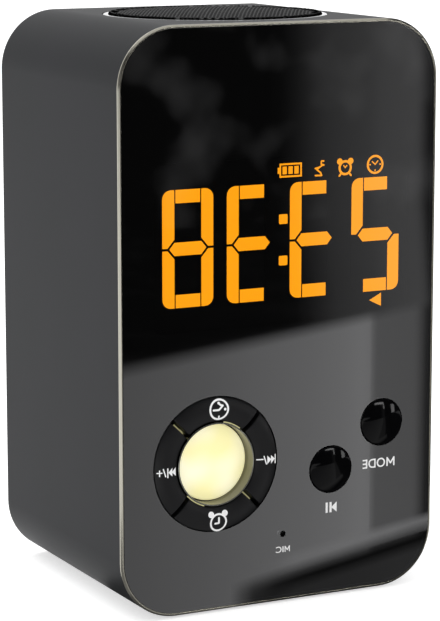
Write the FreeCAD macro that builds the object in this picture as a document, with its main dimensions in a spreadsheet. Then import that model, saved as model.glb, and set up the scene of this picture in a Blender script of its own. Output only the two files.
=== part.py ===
"""Bedside alarm clock and speaker: a loaf-shaped case with a mirror front, built piece by piece.

Frame: X to the right seen from the front, Y from the front to the rear, Z up. The origin lies on the
surface that the rubber feet stand on, under the middle of the case. All lengths are in millimetres.
"""
import FreeCAD, Part
import math
import os

import Sketcher

SIZES = {
    # Case: a moulded shell, open in front and behind, with a ledge round each open end.
    "case_width": 88.0,
    "case_height": 145.2,
    "case_depth": 72.4,
    "corner_radius": 15.0,
    "wall": 2.2,
    "ledge": 1.0,
    "seat_gap": 0.1,
    "inside_gap": 0.3,
    "rear_bevel": 0.5,
    # Thin bright frame round the mirror, and the mirror panel.
    "trim_depth": 0.8,
    "trim_face": 0.75,
    "trim_bevel": 0.6,
    "panel_thick": 1.5,
    "panel_gap": 0.1,
    "gasket_thick": 0.5,
    "gasket_width": 2.4,
    # Chassis behind the mirror.
    "chassis_thick": 2.0,
    "rim_depth": 1.2,
    "rim_thick": 1.6,
    "pillar_radius": 3.6,
    "pillar_inset": 0.4,
    "pillar_low": 14.0,
    "pillar_from_top": 15.0,
    "pillar_length": 36.0,
    "pilot_radius": 1.05,
    "pilot_depth": 8.0,
    # Feet.
    "foot_proud": 0.6,
    "foot_recess": 1.0,
    "foot_radius": 4.0,
    "foot_gap": 0.2,
    "foot_spread_x": 23.0,
    "foot_spread_y": 25.0,
    # Rear cover and its screws.
    "rear_thick": 2.5,
    "rear_rim_depth": 2.0,
    "cover_screw_length": 10.0,
    "cover_screw_head": 2.3,
    "cover_head_height": 1.6,
    "cover_head_gap": 0.2,
    "cover_boss_floor": 4.0,
    "screw_radius": 1.0,
    "screw_clearance": 0.3,
    # Ring of four keys round the lit centre button.
    "ring_from_left": 25.8,
    "ring_z": 37.9,
    "ring_hole_radius": 17.1,
    "key_gap": 0.3,
    "key_rise": 0.6,
    "key_body": 3.4,
    "key_flange": 1.1,
    "key_flange_front": 1.8,
    "groove": 1.0,
    "mouth_radius": 10.1,
    "collar_wall": 0.4,
    "collar_proud": 0.45,
    "collar_lip": 0.15,
    "lens_depth": 3.1,
    "lens_thick": 1.4,
    "lens_bevel": 0.25,
    "well_radius": 18.6,
    "well_wall": 1.2,
    "well_floor": 5.2,
    "well_floor_thick": 1.2,
    "light_hole_radius": 7.5,
    "guide_gap": 0.1,
    "guide_top": 2.6,
    "guide_bar": 0.45,
    "guide_reach": 14.9,
    "guide_ring": 0.6,
    "guide_ring_thick": 0.8,
    # Two round buttons.
    "play_x": 14.15,
    "play_z": 33.1,
    "mode_from_right": 15.15,
    "mode_z": 43.8,
    "button_radius": 5.85,
    "button_gap": 0.3,
    "button_proud": 1.0,
    "button_edge": 0.15,
    "button_flange": 1.25,
    "button_flange_front": 1.7,
    "button_flange_thick": 1.0,
    # Switch stems, plungers and switches.
    "stem_radius": 2.0,
    "stem_gap": 0.3,
    "plunger_radius": 1.7,
    "plunger_front": 7.2,
    "plunger_length": 0.9,
    "switch_side": 6.0,
    "switch_height": 1.8,
    "switch_bore_depth": 1.0,
    "switch_bore_gap": 0.3,
    # Main board.
    "board_front": 9.7,
    "board_thick": 1.6,
    "board_side_gap": 0.9,
    "board_low": 10.0,
    "board_above_display": 7.5,
    "board_hole_edge": 3.0,
    "boss_radius": 2.6,
    "board_screw_length": 4.6,
    "board_screw_head": 2.1,
    "board_head_height": 1.1,
    "led_chip": 2.4,
    "led_height": 0.8,
    "led_offset": 5.0,
    # Display.
    "display_x": 1.2,
    "display_half_width": 35.6,
    "display_low": 70.0,
    "display_high": 112.5,
    "window_gap": 0.2,
    "segment_thick": 0.4,
    "digit_width": 13.75,
    "digit_height": 28.85,
    "digit_mid_z": 91.8,
    "digit_pitch": 17.45,
    "segment_width": 3.25,
    "segment_gap": 0.3,
    "segment_corner": 2.2,
    "segment_slant": 1.35,
    "segment_notch": 0.5,
    "colon_side": 2.4,
    "colon_high": 97.3,
    "colon_low": 87.0,
    "icon_line": 109.3,
    "icon_size": 4.6,
    "icon_stroke": 0.7,
    "battery_icon_shift": 1.8,
    "battery_icon_width": 6.6,
    "battery_icon_height": 3.4,
    "snooze_icon_shift": 10.1,
    "alarm_icon_shift": 17.4,
    "clock_icon_shift": 26.0,
    "arrow_shift": 26.4,
    "arrow_z": 75.1,
    "arrow_size": 3.4,
    # Microphone.
    "mic_x": 0.6,
    "mic_z": 17.9,
    "mic_hole_radius": 0.8,
    "mic_radius": 3.0,
    "mic_length": 2.7,
    "mic_front": 2.6,
    "boot_wall": 1.1,
    "boot_flange": 0.7,
    "boot_flange_thick": 1.2,
    "mic_pin_radius": 0.3,
    "mic_pin_offset": 1.3,
    # Round grille on top and the speaker under it.
    "ring_overhang": 1.4,
    "grille_gap": 0.15,
    "grille_face": 1.7,
    "ring_flange": 1.8,
    "ring_flange_thick": 2.0,
    "ring_seat": 0.4,
    "ring_slope": 0.3,
    "mesh_gap": 0.1,
    "mesh_seat": 1.5,
    "mesh_ledge": 1.5,
    "mesh_thick": 0.8,
    "mesh_edge": 2.2,
    "mesh_roll": 0.4,
    "mesh_rise": 1.2,
    "speaker_side_gap": 0.6,
    "basket_inset": 0.8,
    "basket_thick": 1.0,
    "basket_flange": 4.2,
    "basket_wall": 0.8,
    "basket_foot_radius": 18.5,
    "basket_foot_drop": 13.8,
    "basket_foot_thick": 1.5,
    "basket_foot_hole": 9.5,
    "basket_window": 5.0,
    "speaker_gasket": 0.8,
    "speaker_screw_inset": 1.9,
    "speaker_screw_length": 3.4,
    "speaker_screw_head": 1.7,
    "speaker_head_height": 1.0,
    "top_plate_radius": 16.0,
    "top_plate_thick": 2.2,
    "coil_gap": 0.5,
    "magnet_radius": 17.5,
    "magnet_hole": 10.2,
    "magnet_thick": 6.0,
    "yoke_radius": 16.8,
    "yoke_thick": 2.5,
    "pole_radius": 7.0,
    "former_wall": 0.4,
    "winding": 0.5,
    "winding_height": 5.0,
    "roll_width": 3.6,
    "cone_height": 8.6,
    "cone_thick": 0.6,
    "cone_lip": 1.2,
    "cap_rise": 2.6,
    "cap_radius": 8.8,
    "surround_rise": 1.0,
    "surround_foot": 1.1,
    "surround_seat": 0.6,
    "surround_thick": 0.5,
    "spider_thick": 0.5,
    "spider_seat": 1.6,
    "terminal_width": 10.0,
    "terminal_thick": 1.0,
    "terminal_reach": 5.5,
    # Rear ports on their own small board.
    "port_board_half_width": 27.0,
    "port_board_length": 22.5,
    "port_board_back_gap": 0.9,
    "port_board_z": 17.0,
    "shelf_width": 6.0,
    "shelf_drop": 4.0,
    "port_screw_inset": 3.5,
    "port_screw_x": 23.5,
    "port_screw_length": 4.0,
    "port_pilot_depth": 3.0,
    "port_screw_head": 2.0,
    "port_head_height": 1.0,
    "port_gap": 0.3,
    "port_recess": 1.0,
    "usb_x": -8.0,
    "usb_width": 7.5,
    "usb_height": 2.7,
    "usb_length": 5.6,
    "usb_wall": 0.35,
    "usb_mouth": 4.8,
    "usb_tongue": 0.6,
    "aux_x": 4.5,
    "aux_width": 6.4,
    "aux_height": 5.2,
    "aux_length": 11.5,
    "aux_nose_radius": 2.5,
    "aux_bore_radius": 1.78,
    "aux_bore_length": 12.5,
    "card_x": 17.6,
    "card_width": 14.4,
    "card_height": 1.9,
    "card_length": 15.0,
    "card_slot_width": 11.4,
    "card_slot_height": 1.0,
    "card_slot_depth": 13.0,
    "slide_x": -20.0,
    "slide_width": 8.8,
    "slide_height": 4.0,
    "slide_length": 4.4,
    "slide_back_gap": 0.2,
    "slide_pocket": 2.0,
    "slide_travel": 2.0,
    "knob_width": 2.4,
    "knob_height": 1.5,
    "knob_gap": 0.2,
    "knob_root": 0.4,
    "knob_proud": 1.0,
    # Battery and its cradle.
    "battery_radius": 9.1,
    "battery_length": 65.0,
    "battery_nub_radius": 3.0,
    "battery_nub": 1.0,
    "battery_back_gap": 8.5,
    "battery_z": 41.0,
    "cradle_gap": 0.3,
    "cradle_wall": 2.0,
    "cradle_end": 2.0,
    "cradle_height": 8.0,
    # Wires.
    "wire_radius": 0.6,
    "lead_drop": 11.3,
    "ribbon_width": 10.0,
    "ribbon_thick": 0.6,
    "ribbon_bend": 6.0,
    "ribbon_overlap": 4.0,
    "ribbon_climb": 12.0,
}


class Size:
    """A length that carries its value and the sheet expression that gives it."""

    def __init__(self, value, words):
        self.value = value
        self.words = words

    @staticmethod
    def of(thing):
        return thing if isinstance(thing, Size) else Size(float(thing), repr(float(thing)))

    def __add__(self, other):
        other = Size.of(other)
        return Size(self.value + other.value, f"({self.words} + {other.words})")

    def __sub__(self, other):
        other = Size.of(other)
        return Size(self.value - other.value, f"({self.words} - {other.words})")

    def __mul__(self, other):
        other = Size.of(other)
        return Size(self.value * other.value, f"({self.words} * {other.words})")

    def __truediv__(self, other):
        other = Size.of(other)
        return Size(self.value / other.value, f"({self.words} / {other.words})")

    def __radd__(self, other):
        return Size.of(other) + self

    def __rsub__(self, other):
        return Size.of(other) - self

    def __rmul__(self, other):
        return Size.of(other) * self

    def __neg__(self):
        return Size(-self.value, f"(-1 * {self.words})")


def smaller(first, second):
    """The smaller of two sizes."""
    return Size(min(first.value, second.value), f"min({first.words}; {second.words})")


doc = FreeCAD.newDocument("BedsideAlarmSpeaker")
sheet = doc.addObject("Spreadsheet::Sheet", "sizes")
for row, (alias, value) in enumerate(SIZES.items(), start=1):
    sheet.set(f"A{row}", alias)
    sheet.set(f"B{row}", str(value))
    sheet.setAlias(f"B{row}", alias)
doc.recompute()


class Lengths:
    """Every size of the sheet, by name."""


s = Lengths()
for alias, value in SIZES.items():
    setattr(s, alias, Size(value, f"sizes.{alias}"))

pieces = []


# --- Drawing and cutting -----------------------------------------------------------------------

def new_body(label):
    """An empty body for one piece of the object."""
    body = doc.addObject("PartDesign::Body", label)
    body.Label = label
    pieces.append(body)
    return body


def keep(thing, label):
    """Take a finished primitive or boolean as one piece of the object."""
    thing.Label = label
    pieces.append(thing)
    return thing


def new_sketch(body, plane, at=(0, 0, 0)):
    """A sketch on one of the body's own origin planes, moved to a point of the object's frame."""
    sketch = body.newObject("Sketcher::SketchObject", body.Name + "_sketch")
    support = next(item for item in body.Origin.OriginFeatures if item.Role == plane)
    sketch.AttachmentSupport = [(support, "")]
    sketch.MapMode = "FlatFace"
    x, y, z = (Size.of(value) for value in at)
    local = {"XY_Plane": (x, y, z), "XZ_Plane": (x, z, -y), "YZ_Plane": (y, z, x)}[plane]
    for axis, offset in zip("xyz", local):
        sketch.setExpression(f"AttachmentOffset.Base.{axis}", offset.words)
    return sketch


def constrain(sketch, rules, joints=()):
    """Add constraints to a sketch and bind each rule's length to the sheet.

    A rule is (kind, geometry and points, length).
    """
    made = sketch.addConstraint([Sketcher.Constraint(kind, *where, length.value)
                                 for kind, where, length in rules])
    for index, (_, _, length) in zip(made, rules):
        sketch.setExpression(f"Constraints[{index}]", length.words)
    if joints:
        sketch.addConstraint([Sketcher.Constraint("Coincident", *joint) for joint in joints])


def pinned(geometry, point, u, v):
    """Rules that hold a point at the distances u and v from the sketch's origin."""
    return [("DistanceX", (-1, 1, geometry, point), u), ("DistanceY", (-1, 1, geometry, point), v)]


def draw_circle(sketch, u, v, radius):
    """A circle at u and v."""
    u, v, radius = Size.of(u), Size.of(v), Size.of(radius)
    centre = FreeCAD.Vector(u.value, v.value, 0)
    circle = sketch.addGeometry(Part.Circle(centre, FreeCAD.Vector(0, 0, 1), radius.value), False)
    constrain(sketch, pinned(circle, 3, u, v) + [("Radius", (circle,), radius)])


def draw_outline(sketch, corners):
    """A closed outline, counter-clockwise.

    A corner is (u, v), or (u, v, radius) where the edge that leaves it is an arc. The arc bulges
    outward, or inward where the radius is negative.
    """
    points = [(Size.of(corner[0]), Size.of(corner[1])) for corner in corners]
    edges = []
    rules = []
    for index, corner in enumerate(corners):
        start = FreeCAD.Vector(points[index][0].value, points[index][1].value, 0)
        following = points[(index + 1) % len(points)]
        end = FreeCAD.Vector(following[0].value, following[1].value, 0)
        if len(corner) == 2:
            edge = sketch.addGeometry(Part.LineSegment(start, end), False)
            edges.append((edge, 1, 2))
            continue
        radius = corner[2]
        outward = radius.value > 0
        size = radius if outward else -radius
        chord = end - start
        left = FreeCAD.Vector(-chord.y, chord.x, 0).normalize()
        reach = math.sqrt(max(size.value ** 2 - (chord.Length / 2) ** 2, 0))
        centre = (start + end) / 2 + left * (reach if outward else -reach)
        first, last = (start, end) if outward else (end, start)
        angles = [math.atan2(point.y - centre.y, point.x - centre.x) for point in (first, last)]
        if angles[1] < angles[0]:
            angles[1] += 2 * math.pi
        round_edge = Part.Circle(centre, FreeCAD.Vector(0, 0, 1), size.value)
        edge = sketch.addGeometry(Part.ArcOfCircle(round_edge, *angles), False)
        edges.append((edge, 1, 2) if outward else (edge, 2, 1))
        rules.append(("Radius", (edge,), size))
    joints = []
    for index, (edge, near, far) in enumerate(edges):
        following, its_near, _ = edges[(index + 1) % len(edges)]
        joints.append((edge, far, following, its_near))
        rules += pinned(edge, near, *points[index])
    constrain(sketch, rules, joints)


def rounded(half_width, half_height, radius, u=0, v=0):
    """Corners of a rounded rectangle about u and v."""
    left, right = u - half_width, u + half_width
    low, high = v - half_height, v + half_height
    return [(left + radius, low), (right - radius, low, radius),
            (right, low + radius), (right, high - radius, radius),
            (right - radius, high), (left + radius, high, radius),
            (left, high - radius), (left, low + radius, radius)]


def rectangle(left, low, right, high):
    """Corners of a rectangle."""
    return [(left, low), (right, low), (right, high), (left, high)]


def add_feature(body, kind, sketch, words, reverse):
    """A pad or pocket of a sketch, its length bound to the sheet."""
    feature = body.newObject(f"PartDesign::{kind}", f"{body.Name}_{kind.lower()}")
    feature.Profile = sketch
    feature.setExpression("Length", Size.of(words).words)
    feature.Reversed = reverse
    doc.recompute([sketch, feature, body])
    return feature


def pad(body, plane, at, length, outlines=(), circles=(), reverse=False):
    """Add material on a plane: towards the rear from a front plane, upwards from a level one."""
    sketch = new_sketch(body, plane, at)
    for outline in outlines:
        draw_outline(sketch, outline)
    for circle in circles:
        draw_circle(sketch, *circle)
    return add_feature(body, "Pad", sketch, length, (plane == "XZ_Plane") != reverse)


def pocket(body, plane, at, length, outlines=(), circles=(), reverse=False):
    """Cut material: towards the rear from a front plane, downwards from a level one."""
    sketch = new_sketch(body, plane, at)
    for outline in outlines:
        draw_outline(sketch, outline)
    for circle in circles:
        draw_circle(sketch, *circle)
    before = body.Shape.Volume
    feature = add_feature(body, "Pocket", sketch, length, reverse)
    if body.Shape.Volume > before - 1e-4:
        raise RuntimeError(f"A pocket of {body.Label} removes nothing")
    return feature


def turned(body, plane, at, outline, axis="V_Axis"):
    """Turn an outline about an axis of its own sketch."""
    sketch = new_sketch(body, plane, at)
    draw_outline(sketch, outline)
    feature = body.newObject("PartDesign::Revolution", body.Name + "_turned")
    feature.Profile = sketch
    feature.ReferenceAxis = (sketch, [axis])
    feature.Angle = 360
    doc.recompute([sketch, feature, body])
    return feature


def bevel(body, size, on_edge):
    """Chamfer each edge of the body whose middle passes the test."""
    tip = body.Tip
    names = [f"Edge{number}" for number, edge in enumerate(tip.Shape.Edges, start=1)
             if on_edge(edge)]
    feature = body.newObject("PartDesign::Chamfer", body.Name + "_bevel")
    feature.Base = (tip, names)
    feature.setExpression("Size", size.words)
    doc.recompute([feature, body])
    return feature


def bound(thing, **sizes):
    """Bind the sizes of a primitive to the sheet."""
    for name, size in sizes.items():
        thing.setExpression(name, Size.of(size).words)
    return thing


def placed(thing, x, y, z):
    """Bind the place of a primitive to the sheet."""
    for axis, value in zip("xyz", (x, y, z)):
        thing.setExpression(f"Placement.Base.{axis}", Size.of(value).words)
    return thing


def box(x, y, z, width, length, height):
    """A box from its low corner."""
    return placed(bound(doc.addObject("Part::Box", "box"), Length=width, Width=length, Height=height),
                  x, y, z)


def rod(x, y, z, radius, length, along):
    """A round rod from one end, along X, Y or Z."""
    thing = bound(doc.addObject("Part::Cylinder", "rod"), Radius=radius, Height=length)
    turn = {"X": ((0, 1, 0), 90), "Y": ((1, 0, 0), -90), "Z": ((0, 0, 1), 0)}[along]
    thing.Placement.Rotation = FreeCAD.Rotation(FreeCAD.Vector(*turn[0]), turn[1])
    return placed(thing, x, y, z)


def fused(*things):
    """Join primitives into one solid."""
    joined = doc.addObject("Part::MultiFuse", "joined")
    joined.Shapes = list(things)
    return joined


def cut(base, tool):
    """Take one primitive out of another."""
    rest = doc.addObject("Part::Cut", "cut")
    rest.Base = base
    rest.Tool = tool
    return rest


def grouped(label, things):
    """A group of separate solids that share one node."""
    group = doc.addObject("Part::Compound", label)
    group.Links = list(things)
    return keep(group, label)


# --- Places that several pieces share ------------------------------------------------------------

front_y = (s.button_proud - s.case_depth - s.knob_proud) / 2
case_top = s.foot_proud + s.case_height
case_mid = s.foot_proud + s.case_height / 2
seat_inset = s.wall - s.ledge
chassis_front = s.panel_thick + s.gasket_thick
chassis_back = chassis_front + s.chassis_thick
cover_front = s.case_depth - s.rear_thick
speaker_deep = s.case_depth / 2
ring_flange_radius = smaller(speaker_deep - chassis_back - s.rim_depth - s.speaker_side_gap,
                             s.case_width / 2 - s.corner_radius + s.ring_overhang)
grille_radius = ring_flange_radius - s.ring_flange
board_back = s.board_front + s.board_thick
collar_radius = s.mouth_radius + s.collar_wall
key_inner = collar_radius + s.key_gap
key_outer = s.ring_hole_radius - s.key_gap
key_middle = (key_inner + key_outer) / 2
ring_x = s.ring_from_left - s.case_width / 2
mode_x = s.case_width / 2 - s.mode_from_right


def deep(distance):
    """Y of a point that lies the given distance behind the mirror's face."""
    return front_y + distance


def case_outline(inset):
    """The case's outline, drawn in by an inset all round."""
    return rounded(s.case_width / 2 - inset, s.case_height / 2 - inset, s.corner_radius - inset,
                   0, case_mid)


def front(distance, x=0, z=0):
    """Origin of a sketch that faces forward, the given distance behind the mirror's face."""
    return (x, deep(distance), z)


# --- Case ------------------------------------------------------------------------------------

shell = new_body("main_shell")
pad(shell, "XZ_Plane", front(s.trim_depth), s.case_depth - s.trim_depth, [case_outline(0)])
pocket(shell, "XZ_Plane", front(s.trim_depth), s.case_depth, [case_outline(s.wall)])
pocket(shell, "XZ_Plane", front(s.trim_depth), chassis_back - s.trim_depth, [case_outline(seat_inset)])
pocket(shell, "XZ_Plane", front(s.trim_depth), s.panel_thick - s.trim_depth, [case_outline(s.trim_face)])
pocket(shell, "XZ_Plane", front(s.case_depth), s.rear_thick, [case_outline(seat_inset)], reverse=True)
speaker_y = deep(speaker_deep)
pocket(shell, "XY_Plane", (0, speaker_y, case_top), s.wall + s.ring_flange_thick,
       circles=[(0, 0, grille_radius + s.grille_gap)])
foot_spots = [(x * s.foot_spread_x, y * s.foot_spread_y) for x in (-1, 1) for y in (-1, 1)]
case_mid_y = deep(s.case_depth / 2)
pocket(shell, "XY_Plane", (0, case_mid_y, s.foot_proud), s.foot_recess,
       circles=[(x, y, s.foot_radius + s.foot_gap) for x, y in foot_spots], reverse=True)


def outer_edge_at(y):
    """Test for the edges of the case's outline in the plane at y."""
    half_width = s.case_width.value / 2
    half_height = s.case_height.value / 2
    corner = s.corner_radius.value

    def test(edge):
        middle = edge.valueAt((edge.FirstParameter + edge.LastParameter) / 2)
        if max(abs(vertex.Point.y - y.value) for vertex in edge.Vertexes) > 1e-6:
            return False
        across = abs(middle.x)
        up = abs(middle.z - case_mid.value)
        round_x = across - (half_width - corner)
        round_z = up - (half_height - corner)
        if round_x > 0 and round_z > 0:
            return abs(math.hypot(round_x, round_z) - corner) < 1e-6
        return abs(across - half_width) < 1e-6 or abs(up - half_height) < 1e-6

    return test


bevel(shell, s.rear_bevel, outer_edge_at(deep(s.case_depth)))

trim = new_body("front_trim")
pad(trim, "XZ_Plane", front(0), s.trim_depth, [case_outline(0), case_outline(s.trim_face)])
bevel(trim, s.trim_bevel, outer_edge_at(deep(0)))

feet = []
for x, y in foot_spots:
    feet.append(rod(x, case_mid_y + y, 0, s.foot_radius, s.foot_proud + s.foot_recess, "Z"))
grouped("rubber_feet", feet)

panel = new_body("front_panel")
pad(panel, "XZ_Plane", front(0), s.panel_thick, [case_outline(s.trim_face + s.panel_gap)])
pocket(panel, "XZ_Plane", front(0), s.panel_thick * 2,
       circles=[(ring_x, s.ring_z, s.ring_hole_radius),
                (s.play_x, s.play_z, s.button_radius + s.button_gap),
                (mode_x, s.mode_z, s.button_radius + s.button_gap),
                (s.mic_x, s.mic_z, s.mic_hole_radius)])

gasket = new_body("panel_gasket")
gasket_inset = seat_inset + s.seat_gap
pad(gasket, "XZ_Plane", front(s.panel_thick), s.gasket_thick,
    [case_outline(gasket_inset), case_outline(gasket_inset + s.gasket_width)])

# --- Chassis: plate, rim, key well, board bosses and the four pillars that the rear screws reach ---

pillar_x = s.case_width / 2 - s.wall - s.inside_gap - s.pillar_radius - s.pillar_inset
pillar_spots = [(side * pillar_x, z) for side in (-1, 1)
                for z in (s.pillar_low, case_top - s.pillar_from_top)]
board_half_width = pillar_x - s.pillar_radius - s.board_side_gap
board_high = s.display_high + s.board_above_display
board_spots = [(side * (board_half_width - s.board_hole_edge), z) for side in (-1, 1)
               for z in (s.board_low + s.board_hole_edge, board_high - s.board_hole_edge)]
key_directions = {"clock": (0, 1), "alarm": (0, -1), "back": (-1, 0), "forward": (1, 0)}
key_spots = {name: (ring_x + key_middle * across, s.ring_z + key_middle * up)
             for name, (across, up) in key_directions.items()}
flange_radius = s.button_radius + s.button_flange
boot_radius = s.mic_radius + s.boot_wall
pillar_end = chassis_back + s.pillar_length
window_half = s.display_half_width + s.window_gap

chassis = new_body("front_chassis")
pad(chassis, "XZ_Plane", front(chassis_front), s.chassis_thick, [case_outline(gasket_inset)])
rim_inset = s.wall + s.inside_gap
pad(chassis, "XZ_Plane", front(chassis_back), s.rim_depth,
    [case_outline(rim_inset), case_outline(rim_inset + s.rim_thick)])
pad(chassis, "XZ_Plane", front(chassis_front), s.well_floor + s.well_floor_thick - chassis_front,
    circles=[(ring_x, s.ring_z, s.well_radius + s.well_wall)])
pad(chassis, "XZ_Plane", front(chassis_back), s.pillar_length,
    circles=[(x, z, s.pillar_radius) for x, z in pillar_spots])
pad(chassis, "XZ_Plane", front(chassis_back), s.board_front - chassis_back,
    circles=[(x, z, s.boss_radius) for x, z in board_spots])
pocket(chassis, "XZ_Plane", front(chassis_front), s.well_floor - chassis_front,
       circles=[(ring_x, s.ring_z, s.well_radius)])
stem_hole = s.stem_radius + s.stem_gap
pocket(chassis, "XZ_Plane", front(s.well_floor), s.well_floor_thick * 2,
       circles=[(ring_x, s.ring_z, s.light_hole_radius)]
       + [(x, z, stem_hole) for x, z in key_spots.values()])
pocket(chassis, "XZ_Plane", front(chassis_front), s.chassis_thick * 2,
       outlines=[rectangle(s.display_x - window_half, s.display_low - s.window_gap,
                           s.display_x + window_half, s.display_high + s.window_gap)],
       circles=[(s.play_x, s.play_z, flange_radius + s.button_gap),
                (mode_x, s.mode_z, flange_radius + s.button_gap),
                (s.mic_x, s.mic_z, boot_radius + s.seat_gap)])
pocket(chassis, "XZ_Plane", front(s.board_front), s.board_screw_length,
       circles=[(x, z, s.pilot_radius) for x, z in board_spots], reverse=True)
pocket(chassis, "XZ_Plane", front(pillar_end), s.pilot_depth,
       circles=[(x, z, s.pilot_radius) for x, z in pillar_spots], reverse=True)

# --- Ring of keys, the lit centre button, its collar and the light guide ---------------------------


def dome_radius(half_chord, rise):
    """Radius of the arc that rises by the given height over a chord."""
    return (half_chord * half_chord + rise * rise) / (rise * 2)


ring_axis = (ring_x, deep(0), s.ring_z)
key_flange_radius = key_outer + s.key_flange
key_section = [(key_inner, 0, dome_radius((key_outer - key_inner) / 2, s.key_rise)),
               (key_outer, 0), (key_outer, s.key_flange_front),
               (key_flange_radius, s.key_flange_front), (key_flange_radius, s.key_body),
               (key_inner, s.key_body)]
key_reach = key_flange_radius * 2
apex = s.groove / math.sqrt(2)
for name, (across, up) in key_directions.items():
    key = new_body(f"key_{name}")
    turned(key, "XY_Plane", ring_axis, key_section)
    beyond = []
    for forth, aside in ((apex, 0), (key_reach, key_reach), (-key_reach, key_reach),
                         (-key_reach, -key_reach), (key_reach, -key_reach)):
        beyond.append((ring_x + forth * across - aside * up, s.ring_z + forth * up + aside * across))
    pocket(key, "XZ_Plane", front(-s.button_proud), s.button_proud + s.key_body * 2, [beyond])
    x, z = key_spots[name]
    stem_root = s.key_body / 2
    pad(key, "XZ_Plane", front(stem_root), s.plunger_front - stem_root,
        circles=[(x, z, s.stem_radius)])

centre = new_body("centre_button")
lens_radius = s.mouth_radius - s.key_gap
lens_back = s.lens_depth + s.lens_thick
turned(centre, "XY_Plane", ring_axis,
       [(0, s.lens_depth), (lens_radius - s.lens_bevel, s.lens_depth),
        (lens_radius, s.lens_depth + s.lens_bevel), (lens_radius, lens_back),
        (s.stem_radius, lens_back), (s.stem_radius, s.plunger_front), (0, s.plunger_front)])

collar = new_body("centre_collar")
turned(collar, "XY_Plane", ring_axis,
       [(s.mouth_radius, s.collar_lip - s.collar_proud),
        (s.mouth_radius + s.collar_lip, -s.collar_proud), (collar_radius, -s.collar_proud),
        (collar_radius, s.well_floor), (s.mouth_radius, s.well_floor)])

guide = new_body("light_guide")
guide_inner = collar_radius + s.guide_gap
guide_outer = guide_inner + s.guide_ring
guide_ring_front = s.well_floor - s.guide_ring_thick
turned(guide, "XY_Plane", ring_axis,
       [(guide_inner, guide_ring_front), (guide_outer, guide_ring_front),
        (guide_outer, s.well_floor), (guide_inner, s.well_floor)])
diagonal = 1 / math.sqrt(2)
bars = []
for along_x, along_z in ((1, 1), (-1, 1), (-1, -1), (1, -1)):
    bar = []
    for reach, side in ((guide_inner + s.guide_ring / 2, -1), (s.guide_reach, -1),
                        (s.guide_reach, 1), (guide_inner + s.guide_ring / 2, 1)):
        half = s.guide_bar * (side / 2)
        bar.append((ring_x + (reach * along_x - half * along_z) * diagonal,
                    s.ring_z + (reach * along_z + half * along_x) * diagonal))
    bars.append(bar)
pad(guide, "XZ_Plane", front(s.guide_top), s.well_floor - s.guide_top, bars)

# --- Round buttons -----------------------------------------------------------------------------

button_spots = {"play": (s.play_x, s.play_z), "mode": (mode_x, s.mode_z)}
for name, (x, z) in button_spots.items():
    button = new_body(f"{name}_button")
    flange_back = s.button_flange_front + s.button_flange_thick
    crown = dome_radius(s.button_radius, s.button_proud - s.button_edge)
    turned(button, "XY_Plane", (x, deep(0), z),
           [(0, -s.button_proud, crown), (s.button_radius, -s.button_edge),
            (s.button_radius, s.button_flange_front), (flange_radius, s.button_flange_front),
            (flange_radius, flange_back), (s.stem_radius, flange_back),
            (s.stem_radius, s.plunger_front), (0, s.plunger_front)])

# --- Main board, its switches and lamps ----------------------------------------------------------

switch_spots = {**key_spots, "centre": (ring_x, s.ring_z), **button_spots}
switches = []
for name, (x, z) in switch_spots.items():
    keep(rod(x, deep(s.plunger_front), z, s.plunger_radius, s.plunger_length, "Y"),
         f"plunger_{name}")
    switch_front = deep(s.board_front - s.switch_height)
    case = box(x - s.switch_side / 2, switch_front, z - s.switch_side / 2,
               s.switch_side, s.switch_height, s.switch_side)
    bore = rod(x, switch_front, z, s.plunger_radius + s.switch_bore_gap, s.switch_bore_depth, "Y")
    switches.append(cut(case, bore))
grouped("tact_switches", switches)

board = new_body("main_board")
pad(board, "XZ_Plane", front(s.board_front), s.board_thick,
    [rectangle(-board_half_width, s.board_low, board_half_width, board_high)])
pocket(board, "XZ_Plane", front(s.board_front), s.board_thick * 2,
       circles=[(x, z, s.screw_radius + s.screw_clearance) for x, z in board_spots])


def screw(x, y, z, head_radius, head_height, length, along, towards):
    """A screw whose head rests on the given point, its shank pointing towards the axis' low side
    (-1) or high side (1)."""
    step = {"Y": (0, 1, 0), "Z": (0, 0, 1)}[along]
    head_start = 0 if towards < 0 else -head_height
    shank_start = -length if towards < 0 else 0
    overlap = head_height / 2
    head = rod(x + step[0] * head_start, y + step[1] * head_start, z + step[2] * head_start,
               head_radius, head_height, along)
    start = shank_start if towards < 0 else -overlap
    shank = rod(x, y + step[1] * start, z + step[2] * start, s.screw_radius, length + overlap, along)
    return fused(head, shank)


grouped("board_screws", [screw(x, deep(board_back), z, s.board_screw_head, s.board_head_height,
                               s.board_screw_length, "Y", -1) for x, z in board_spots])

lamps = []
for side in (-1, 1):
    for up in (-1, 1):
        lamps.append(box(ring_x + side * s.led_offset - s.led_chip / 2,
                         deep(s.board_front - s.led_height),
                         s.ring_z + up * s.led_offset - s.led_chip / 2,
                         s.led_chip, s.led_height, s.led_chip))
grouped("centre_leds", lamps)

# --- Display -----------------------------------------------------------------------------------

keep(box(s.display_x - s.display_half_width, deep(chassis_front), s.display_low,
         s.display_half_width * 2, s.board_front - chassis_front, s.display_high - s.display_low),
     "display_housing")


def turned_round(corners):
    """The same outline walked the other way, each arc on its own edge."""
    count = len(corners)
    arcs = [corner[2:] for corner in corners]
    return [(*corners[count - 1 - index][:2], *arcs[count - 2 - index]) for index in range(count)]


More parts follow.
